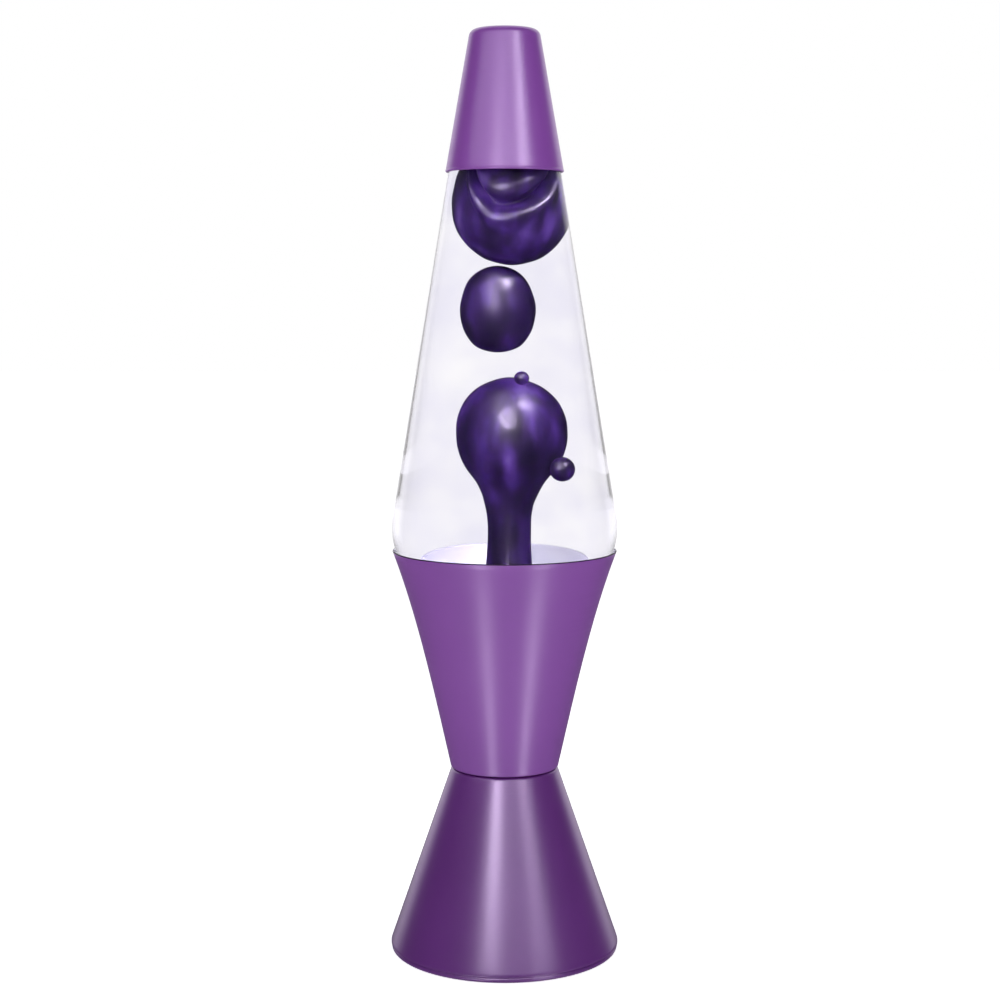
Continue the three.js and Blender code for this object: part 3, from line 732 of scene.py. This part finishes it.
def make_filament():
    """A fine coil of tungsten that hangs from two leads, in the space of the CAD wire."""
    low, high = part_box("bulb_filament")
    start = low.z / MM
    top = high.z / MM - 0.9
    reach_x, reach_y = 8.6, 5.2
    coil_radius = 0.5
    points = [(-0.7, 0, start + 0.2), (-3.5, 0, start + 4), (-reach_x, 0, top)]
    turns = 36
    steps = turns * 8
    for step in range(steps + 1):
        share = step / steps
        angle = math.pi * share
        twist = 2 * math.pi * turns * share
        x = -reach_x * math.cos(angle)
        y = reach_y * math.sin(angle) + coil_radius * math.cos(twist)
        points.append((x, y, top + coil_radius * math.sin(twist)))
    points += [(reach_x, 0, top), (3.5, 0, start + 4), (0.7, 0, start + 0.2)]
    coil = wire("coiled_filament", points, 0.13, tungsten, smoothness=1)
    stand_for(coil, "bulb", "tungsten", "bulb_filament")


# ---------- Bottle ----------

def wall_tilt():
    """Angle of the straight wall that leaves the shoulder arc and passes under the cap."""
    across = BOTTLE_RADIUS - SHOULDER_ARC - GLASS_UNDER_CAP
    along = CAP_SEAT - SHOULDER_HEIGHT
    return math.asin(SHOULDER_ARC / math.hypot(across, along)) - math.atan2(-across, along)


NECK_START = BOTTLE_SEAT + 186
NECK_END = BOTTLE_SEAT + 211


def bottle_radius(height):
    return GLASS_UNDER_CAP + math.tan(wall_tilt()) * (CAP_SEAT - height)


def bottle_wall(inset, top=NECK_END):
    """The wall from the floor up to a height, at one distance inside the outer face."""
    tilt = wall_tilt()
    lower_tilt = math.atan(LOWER_WALL_TAPER)
    shoulder = (BOTTLE_RADIUS - SHOULDER_ARC, SHOULDER_HEIGHT)
    arc_end = (
        shoulder[0] + SHOULDER_ARC * math.cos(lower_tilt),
        shoulder[1] - SHOULDER_ARC * math.sin(lower_tilt),
    )
    corner_height = BOTTLE_SEAT + FLOOR_CORNER
    corner_wall = arc_end[0] - LOWER_WALL_TAPER * (arc_end[1] - corner_height)
    corner = (corner_wall - FLOOR_CORNER * math.hypot(1, LOWER_WALL_TAPER), corner_height)
    round_corner = arc(corner, FLOOR_CORNER - inset, -90, -math.degrees(lower_tilt), 8)
    round_shoulder = arc(
        shoulder, SHOULDER_ARC - inset, -math.degrees(lower_tilt), math.degrees(tilt), 24
    )
    line = bottle_radius(NECK_START) - inset
    slope = math.tan(tilt)
    neck = bezier(
        (line, NECK_START),
        (line - 10 * slope, NECK_START + 10),
        (NECK_RADIUS - inset, NECK_END - 10),
        (NECK_RADIUS - inset, NECK_END),
        20,
    )
    side = straight(round_shoulder[-1], neck[0], 24)
    points = [*round_corner, *straight(round_corner[-1], round_shoulder[0], 6)[1:]]
    points += [*round_shoulder[:-1], *side, *neck]
    return [point for point in points if point[1] <= top]


def make_bottle():
    """Blown glass with a heavy floor, a locking ring and a rounded mouth."""
    inside = [(max(radius, BORE_RADIUS), height) for radius, height in bottle_wall(GLASS)]
    ring = 13.3
    outside = [
        (0, BOTTLE_SEAT + 0.6),
        (18, BOTTLE_SEAT + 0.5),
        (26, BOTTLE_SEAT),
        *bottle_wall(0)[1:],
        (NECK_RADIUS, MOUTH - 7.6),
        *arc((ring - 0.9, MOUTH - 5.6), 0.9, -60, 0, 4),
        *arc((ring - 0.9, MOUTH - 3.5), 0.9, 0, 70, 4),
        (NECK_RADIUS - 0.2, MOUTH - 2.2),
        *arc((NECK_RADIUS - 1.2, MOUTH - 1), 1, 0, 90, 5),
        *arc((BORE_RADIUS + 1, MOUTH - 1), 1, 90, 180, 5),
    ]
    outline = [*outside, *reversed(inside), (0, BOTTLE_SEAT + GLASS)]
    bottle = turned("blown_bottle", outline, [glass, wet_glass], 192, changes=[len(outside)])
    stand_for(bottle, "bottle", "clear_glass", "glass_bottle")


def make_liquid():
    """The clear fill. It reaches 0.1 mm into the glass, so that no air shows between them."""
    into_glass = 0.1
    wall = bottle_wall(GLASS - into_glass, LIQUID_LEVEL)
    level_radius = wall[-1][0]
    outline = [
        (0, BOTTLE_SEAT + GLASS - into_glass),
        *wall,
        (level_radius, LIQUID_LEVEL - 0.1),
        (level_radius - 1.5, LIQUID_LEVEL - 0.5),
        (0, LIQUID_LEVEL - 0.6),
    ]
    fill = turned("liquid_fill", outline, [fluid], 192)
    stand_for(fill, "bottle", "clear_liquid", "liquid")


def make_crown():
    """A crimped steel cap whose flutes deepen towards the skirt."""
    flutes = 21
    flute_depth = 0.5
    skirt, top = heights("crown_cap")
    radius = 14.1
    sheet = 0.35

    def flute(angle, height):
        depth = flute_depth * max(0, min(1, (top - 1.8 - height) / (top - 1.8 - skirt)))
        return depth * math.cos(flutes * angle)

    side_rows = 8
    side = [skirt + (top - 2.4 - skirt) * row / side_rows for row in range(side_rows + 1)]
    corner = (radius - 2.2, top - 2.2)
    outline = [
        (0, top - sheet),
        *arc(corner, 2.2 - sheet, 90, 0, 6),
        *[(radius - sheet, height) for height in reversed(side)],
        *[(radius, height) for height in side],
        *arc(corner, 2.2, 0, 90, 6),
        (0, top),
    ]
    crown = turned("crimped_crown", outline, [tinplate], 168, swell=flute)
    stand_for(crown, "bottle", "tinplate", "crown_cap")


def make_heat_coil():
    """The open ring of spring wire that lies round the wax on the bottle's floor."""
    low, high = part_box("heat_coil")
    coil_height = (low.z + high.z) / 2 / MM
    ring_radius = 28.9
    coil_radius = 1.45
    turns = 64
    per_turn = 10
    points = []
    for step in range(turns * per_turn + 1):
        share = step / (turns * per_turn)
        around = math.radians(350) * share
        twist = 2 * math.pi * turns * share
        radius = ring_radius + coil_radius * math.cos(twist)
        height = coil_height + coil_radius * math.sin(twist)
        points.append((radius * math.cos(around), radius * math.sin(around), height))
    coil = wire("spring_coil", points, 0.35, steel)
    stand_for(coil, "bottle", "zinc_steel", "heat_coil")


# ---------- Wax ----------

def uneven(seed, amount, wavelength):
    """A slow unevenness of the surface with a fainter, quicker one on top, the same each run."""
    def swell(angle, height):
        spot = Vector((math.cos(angle) * 1.1, math.sin(angle) * 1.1, height / wavelength + seed))
        return amount * (noise.noise(spot) + 0.3 * noise.noise(spot * 3.1))
    return swell


def make_wax_column():
    """The pool on the bottle's floor and the mushroom that rises from it."""
    knots = [
        (19, 9), (10.5, 17), (7.2, 28), (6.5, 40), (7.3, 49), (10, 57), (13.9, 64), (16.2, 71),
        (16.8, 78), (15.9, 85), (13.2, 91.3), (8.2, 96.6), (0, 99.6),
    ]
    curve = spline([(radius, BOTTLE_SEAT + height) for radius, height in knots], 130)
    floor = heights("wax_column")[0]
    pool = [
        (0, floor),
        (24.6, floor),
        *arc((24.6, floor + 0.8), 0.8, -90, 0, 4)[1:],
        (25.4, POOL_TOP - 2.5),
        *arc((22.9, POOL_TOP - 2.5), 2.5, 0, 80, 6)[1:],
    ]
    place = middle("wax_column")
    ripple = uneven(3, 0.25, 14)
    most_lean, head_start, head_height = 0.8, 50, 50

    def swell(angle, height):
        """The head leans a little to the right of the stem, and the pool stays round."""
        if height < POOL_TOP + 1:
            return 0
        share_of_head = (height - BOTTLE_SEAT - head_start) / head_height
        lean = most_lean * max(0, math.sin(math.pi * share_of_head))
        return ripple(angle, height) + lean * math.cos(angle)

    column = turned("wax_mushroom", pool + curve, [wax], 96, (place.x, place.y), swell)
    stand_for(column, "bottle", "purple_wax", "wax_column")


TOP_RIPPLE = uneven(7, 0.3, 12)
CREASE_LOWEST_AT = -14  # degrees from the front, positive to the camera's right
CREASE_HEIGHT = BOTTLE_SEAT + 168
CREASE_RISE = 8.6


def hump(above, size, place, width):
    """A smooth swelling, or with a negative size a hollow, at one height above the crease."""
    return size * math.exp(-(((above - place) / width) ** 2))


def folded(angle, height):
    """The top blob's crease: it sags in front like a smile, with a lobe that hangs over a ledge."""
    front = (math.degrees(angle) + 90 + 180) % 360 - 180
    span = 31 if front < CREASE_LOWEST_AT else 64
    crease = CREASE_HEIGHT + CREASE_RISE * ((front - CREASE_LOWEST_AT) / span) ** 2
    fade = max(0, 1 - (front / 95) ** 4)
    above = height - crease
    lobe = hump(above, 1.8, 6.5, 5)
    groove = hump(above, -4.8, -0.6, 2.1)
    ledge = hump(above, 2.0, -6.5, 3.6)
    return TOP_RIPPLE(angle, height) + fade * (lobe + groove + ledge)


def make_top_blob():
    """The big folded blob under the cap."""
    knots = [
        (0, 143.6), (5.6, 144.9), (9.8, 147.4), (14.2, 152.6), (17.2, 159.4), (17.8, 166),
        (17.5, 172), (15.5, 181), (9.5, 188.5), (0, 191.5),
    ]
    curve = spline([(radius, BOTTLE_SEAT + height) for radius, height in knots], 200)
    place = middle("wax_top")
    blob = turned("wax_folded_blob", curve, [wax], 192, (place.x, place.y), folded)
    stand_for(blob, "drifting_wax", "purple_wax", "wax_top")


def make_middle_blob():
    """The plain blob between the folded one and the column."""
    knots = [
        (0, 109.4), (6.2, 111.4), (9.6, 116.5), (11.1, 123), (11, 129.5), (8.8, 137.3), (5, 141.8),
        (0, 143.4),
    ]
    curve = spline([(radius, BOTTLE_SEAT + height) for radius, height in knots], 90)
    place = middle("wax_middle")
    blob = turned("wax_middle_blob", curve, [wax], 96, (place.x, place.y), uneven(11, 0.2, 12))
    stand_for(blob, "drifting_wax", "purple_wax", "wax_middle")


def make_bead(name, node, body):
    """A round bead that fills the CAD bead's height."""
    spot = middle(node)
    low, high = heights(node)
    radius = (high - low) / 2
    curve = [(0, low), *arc((0, spot.z), radius, -90, 90, 24)[1:-1], (0, high)]
    bead = turned(name, curve, [wax], 48, (spot.x, spot.y), uneven(17, 0.2, 5))
    stand_for(bead, body, "purple_wax", node)


# ---------- Cap ----------

def make_cap():
    """The spun cap, with a rounded top edge and a hemmed lower edge."""
    tilt = math.degrees(math.atan(CAP_TAPER))
    slant = math.hypot(1, CAP_TAPER)
    corner_height = CAP_TOP - CAP_CORNER
    corner = (CAP_RADIUS - CAP_TAPER * (corner_height - CAP_SEAT) - CAP_CORNER * slant, corner_height)
    hem = 0.6
    hem_centre = (CAP_RADIUS - hem, CAP_SEAT + hem)
    outer_corner = arc(corner, CAP_CORNER, tilt, 90, 12)
    inner_corner = arc(corner, CAP_CORNER - SHEET, 90, tilt, 8)
    outer_hem = arc(hem_centre, hem, -90, 50, 8)
    inner_hem = arc(hem_centre, hem, 180 + tilt, 270, 4)[:-1]
    inside = [(0, CAP_TOP - SHEET), *inner_corner[:-1], *straight(inner_corner[-1], inner_hem[0], 10)]
    outline = [
        *inside,
        *inner_hem,
        *outer_hem,
        *straight((CAP_RADIUS - CAP_TAPER * 1.5, CAP_SEAT + 1.5), outer_corner[0], 24),
        *outer_corner,
        (0, CAP_TOP),
    ]
    cap = turned("spun_cap", outline, [aluminium, satin], changes=[len(inside)])
    stand_for(cap, "cap", "satin_purple_metal", "top_cap")


# ---------- CAD pieces that stay ----------

WELD_DISTANCE = 1e-6
SOFT_EDGE = 0.12


def refine(node, look):
    """A CAD piece keeps its shape and gets its finish and softened edges."""
    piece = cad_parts[node]
    piece.data.materials.clear()
    piece.data.materials.append(look)
    weld = piece.modifiers.new("weld", "WELD")
    weld.merge_threshold = WELD_DISTANCE
    bevel = piece.modifiers.new("soft_edges", "BEVEL")
    bevel.width = SOFT_EDGE * MM
    bevel.segments = 2
    bevel.limit_method = "ANGLE"
    bevel.angle_limit = math.radians(40)
    bevel.harden_normals = True
    piece.data.shade_smooth()


KEPT = {
    "socket_bracket": steel,
    "bracket_screw_1": steel,
    "bracket_screw_2": steel,
    "bracket_nut_1": steel,
    "bracket_nut_2": steel,
    "socket_nipple": steel,
    "lock_washer": steel,
    "nipple_nut": brass,
    "socket_body": phenolic,
    "socket_contact": brass,
    "terminal_screw_1": brass,
    "terminal_screw_2": brass,
    "bulb_contact": nickel,
    "bulb_insulator": black_glass,
    "bulb_stem": lamp_glass,
    "crown_liner": liner,
}


# ---------- Studio ----------

def studio_light(name, kind, place, aim, through_glass):
    """A light that the camera doesn't see. It lights either what is seen through glass and not
    mirrored there, or else everything that is not seen through glass."""
    light = bpy.data.lights.new(name, kind)
    light.cycles.use_multiple_importance_sampling = False
    light.use_nodes = True
    tree = light.node_tree
    path = add(tree, "ShaderNodeLightPath").outputs
    passed, mirrored = path["Transmission Depth"], path["Glossy Depth"]
    if through_glass:
        unmirrored = maths(tree, "LESS_THAN", mirrored, 0.5)
        seen = maths(tree, "SUBTRACT", passed, mirrored)
        wanted = maths(tree, "MULTIPLY", seen, unmirrored, clamp=True)
    else:
        wanted = maths(tree, "LESS_THAN", passed, 0.5)
    tree.links.new(wanted, tree.nodes["Emission"].inputs["Strength"])
    holder = bpy.data.objects.new(name, light)
    bpy.context.scene.collection.objects.link(holder)
    holder.location = place
    toward = Vector(aim) - holder.location
    holder.rotation_euler = toward.to_track_quat("-Z", "Y").to_euler()
    holder.visible_camera = False
    return holder


def panel_light(name, place, aim, width, tall, radiance, through_glass):
    """A flat panel. Its energy is set so that its brightness stays the same at any size."""
    holder = studio_light(name, "AREA", place, aim, through_glass)
    light = holder.data
    light.shape = "RECTANGLE"
    light.size = width
    light.size_y = tall
    light.energy = 4 * width * tall * radiance
    return holder


def around_lamp(azimuth, distance, height):
    """A place. Azimuth is in degrees from the camera's side, positive to the camera's right."""
    angle = math.radians(azimuth)
    return (distance * math.sin(angle), -distance * math.cos(angle), height)


def softbox(name, azimuth, distance, height, width, tall, radiance, aim_height, through_glass=False):
    """A panel that stands round the lamp and faces a height on its axis. Sizes are in metres."""
    place = around_lamp(azimuth, distance, height)
    return panel_light(name, place, (0, 0, aim_height), width, tall, radiance, through_glass)


def wax_spot(name, azimuth, distance, height, aim_height, beam_degrees, radius, radiance):
    """A narrow beam that puts a highlight, and no matt light, on one piece of wax."""
    place = around_lamp(azimuth, distance, height)
    holder = studio_light(name, "SPOT", place, (0, 0, aim_height), through_glass=True)
    light = holder.data
    light.shadow_soft_size = radius
    light.spot_size = math.radians(beam_degrees)
    light.spot_blend = 0.5
    light.energy = 4 * (math.pi * radius) ** 2 * radiance
    holder.visible_diffuse = False


def make_inner_glow():
    """Panels that light the bare metal behind the bottle's foot, all the way round."""
    panels = 6
    inner, outer = 30 * MM, 45 * MM
    width, tall = 26 * MM, 16 * MM
    height = (RIM_TOP - 10) * MM
    radiance = 1.1
    for index in range(panels):
        angle = 2 * math.pi * index / panels
        ways = (math.cos(angle), math.sin(angle))
        place = (inner * ways[0], inner * ways[1], height)
        aim = (outer * ways[0], outer * ways[1], height)
        name = f"inner_glow_{index + 1}"
        panel_light(name, place, aim, width, tall, radiance, through_glass=True)


# Name, azimuth, distance, height, width, tall, radiance and the height it faces, in metres.
METAL_LIGHTS = (
    ("left_strip", -15, 0.7, 0.39, 0.13, 0.26, 9, 0.1),
    ("right_strip", 41, 1.5, 0.7, 0.5, 0.6, 1.6, 0.1),
    ("front_fill", 10, 1.6, 0.75, 2.2, 0.6, 0.62, 0.1),
    ("cap_strip", 39, 0.8, 0.72, 0.22, 0.45, 2.4, 0.34),
    ("high_box", -13, 0.62, 0.74, 2.4, 0.45, 0.7, 0.33),
)
# The same, for lights that show only as highlights. The last value says which side of the glass.
HIGHLIGHTS = (
    ("low_left_strip", -26, 1.5, -0.66, 0.3, 0.82, 3.0, 0.1, False),
    ("low_right_strip", 41, 1.5, -0.66, 0.3, 0.82, 3.0, 0.1, False),
    ("wax_key", 45, 0.6, 0.9, 0.3, 0.26, 14, 0.23, True),
)
# Name, azimuth, distance, height, the height it faces, beam in degrees, radius and radiance.
WAX_SPOTS = (
    ("head_spot_1", -10, 0.6, 0.46, 0.212, 5, 0.04, 1000),
    ("head_spot_2", -24, 0.5, 0.9, 0.216, 5, 0.05, 600),
    ("lobe_spot", -22, 0.6, 0.42, 0.308, 4, 0.05, 950),
    ("fold_spot_1", -20, 0.45, 0.85, 0.297, 5, 0.05, 380),
    ("fold_spot_2", 25, 0.45, 0.85, 0.297, 5, 0.05, 380),
    ("fold_spot_3", 70, 0.45, 0.85, 0.297, 5, 0.05, 380),
)


def make_lights():
    for row in METAL_LIGHTS:
        softbox(*row)
    for row in HIGHLIGHTS:
        softbox(*row).visible_diffuse = False
    for row in WAX_SPOTS:
        wax_spot(*row)
    make_inner_glow()


def grey_ramp(tree, factor, *stops):
    """A ramp of greys with a slight violet cast. Each stop is a position and a brightness."""
    return ramp(tree, factor, [(position, (grey * 0.99, grey * 0.975, grey, 1)) for position, grey in stops])


def half_turn(tree, vector):
    """0 in front of the lamp, 0.5 at either side of it and 1 behind it, and the vector's height."""
    parts = add(tree, "ShaderNodeSeparateXYZ", {"Vector": vector})
    across = maths(tree, "ABSOLUTE", parts.outputs["X"])
    toward = maths(tree, "MULTIPLY", parts.outputs["Y"], -1)
    turn = maths(tree, "ARCTAN2", across, toward)
    return maths(tree, "DIVIDE", turn, math.pi), parts.outputs["Z"]


def seen_through_glass(tree, share):
    """The backdrop as the bottle shows it: greyest in front of the lamp, near white behind it, and
    brightest in between."""
    levels = ((0.0, 0.86), (0.5, 0.89), (0.66, 1.2), (0.72, 1.2), (0.8, 1.04), (0.93, 0.99))
    return grey_ramp(tree, share, *levels)


WAX_VIEW_FACES = 6  # three faces on the way to the wax and three on the way out
FACES_MARGIN = 1.1


def straight_through(tree):
    """1 for a view of the backdrop through glass, and 0 for a view that met something there. That is
    told by a bounce and by about as many crossed faces as a view of the wax has. A view mirrored in
    the wall crosses fewer or more faces, and counts as a view of the backdrop."""
    path = add(tree, "ShaderNodeLightPath").outputs
    bounced = maths(tree, "ADD", path["Glossy Depth"], path["Diffuse Depth"], clamp=True)
    in_and_out = maths(tree, "COMPARE", path["Transmission Depth"], WAX_VIEW_FACES, FACES_MARGIN)
    met = maths(tree, "MULTIPLY", bounced, in_and_out)
    return maths(tree, "SUBTRACT", path["Is Transmission Ray"], met, clamp=True)


def blend_colours(tree, factor, first, second):
    """The first colour where the factor is 0, and the second where it is 1."""
    mix = add(tree, "ShaderNodeMix", {"Factor": factor, 6: first, 7: second}, data_type="RGBA")
    return mix.outputs[2]


WHITE = (1, 1, 1, 1)
HORIZON_LOW, HORIZON_HIGH = -0.24, -0.1


def make_world():
    """White behind the lamp, for its outline, and dim at the sides, so that the metal has contrast.
    What the wax mirrors is nearly black, and what lights it evenly is brighter than for the rest."""
    world = bpy.data.worlds.new("studio")
    bpy.context.scene.world = world
    world.cycles.sampling_method = "NONE"
    world.use_nodes = True
    tree = world.node_tree
    direction = add(tree, "ShaderNodeTexCoord")
    share, height = half_turn(tree, direction.outputs["Generated"])
    around = grey_ramp(tree, share, (0.0, 0.05), (0.3, 0.02), (0.7, 0.04), (0.76, 1.2))
    inputs = {"Value": height, "From Min": HORIZON_LOW, "From Max": HORIZON_HIGH}
    above = add(tree, "ShaderNodeMapRange", inputs, interpolation_type="SMOOTHSTEP")
    path = add(tree, "ShaderNodeLightPath").outputs
    passed = path["Is Transmission Ray"]
    mirrored = blend_colours(tree, above.outputs["Result"], (0.1, 0.1, 0.1, 1), around)
    gloss = blend_colours(tree, passed, mirrored, (0.015, 0.01, 0.03, 1))
    matt = blend_colours(tree, passed, (0.45, 0.45, 0.46, 1), (1.1, 1.1, 1.11, 1))
    shown = blend_colours(tree, path["Diffuse Depth"], gloss, matt)
    shown = blend_colours(tree, straight_through(tree), shown, seen_through_glass(tree, share))
    shown = blend_colours(tree, path["Is Camera Ray"], shown, WHITE)
    tree.links.new(shown, tree.nodes["Background"].inputs["Color"])


def make_floor():
    """A pale floor that glows enough to read as white, so only a faint shadow shows on it. Through
    glass it shows the same backdrop as the world does."""
    mesh = bpy.data.meshes.new("studio_floor")
    half = 6  # metres
    corners = [(-half, -half, 0), (half, -half, 0), (half, half, 0), (-half, half, 0)]
    mesh.from_pydata(corners, [], [(0, 1, 2, 3)])
    look, tree, shader = blank("pale_floor")
    fixed(shader, Base_Color=(0.8, 0.8, 0.8, 1), Roughness=0.9, Specular_IOR_Level=0.0)
    fixed(shader, Emission_Color=WHITE, Emission_Strength=0.72)
    place = add(tree, "ShaderNodeTexCoord")
    share, _ = half_turn(tree, place.outputs["Object"])
    path = add(tree, "ShaderNodeLightPath").outputs
    gloss, matt = (0.02, 0.013, 0.04, 1), (1.3, 1.3, 1.3, 1)
    lighting = blend_colours(tree, path["Diffuse Depth"], gloss, matt)
    colour = blend_colours(tree, straight_through(tree), lighting, seen_through_glass(tree, share))
    through = add(tree, "ShaderNodeEmission", {"Color": colour}).outputs["Emission"]
    mix = add(
        tree,
        "ShaderNodeMixShader",
        {0: path["Is Transmission Ray"], 1: shader.outputs["BSDF"], 2: through},
    )
    tree.links.new(mix.outputs["Shader"], tree.nodes["Material Output"].inputs["Surface"])
    floor = new_object("studio_floor", mesh, [look])
    floor.visible_glossy = False
    floor.visible_shadow = False


CAMERA_PLACE = (-0.00184, -0.7734, 0.2651)
CAMERA_TILT = 6.01  # degrees that it looks down
LENS = 70
SENSOR_WIDTH = 36


def make_camera():
    camera = bpy.data.cameras.new("camera")
    camera.lens = LENS
    camera.sensor_width = SENSOR_WIDTH
    holder = bpy.data.objects.new("camera", camera)
    bpy.context.scene.collection.objects.link(holder)
    holder.location = CAMERA_PLACE
    holder.rotation_euler = (math.radians(90 - CAMERA_TILT), 0, 0)
    bpy.context.scene.camera = holder


make_camera()
make_world()
make_lights()
make_floor()
make_lower_cone()
make_upper_cone()
make_grommet()
make_cover()
make_feet()
make_socket_shell()
make_bulb()
make_filament()
make_bottle()
make_liquid()
make_crown()
make_heat_coil()
make_wax_column()
make_top_blob()
make_middle_blob()
make_bead("wax_small_bead", "wax_bead_small", "small_bead")
make_bead("wax_side_bead", "wax_bead_side", "side_bead")
make_cap()
for kept_node, kept_look in KEPT.items():
    refine(kept_node, kept_look)

bpy.context.scene.view_settings.view_transform = "Standard"
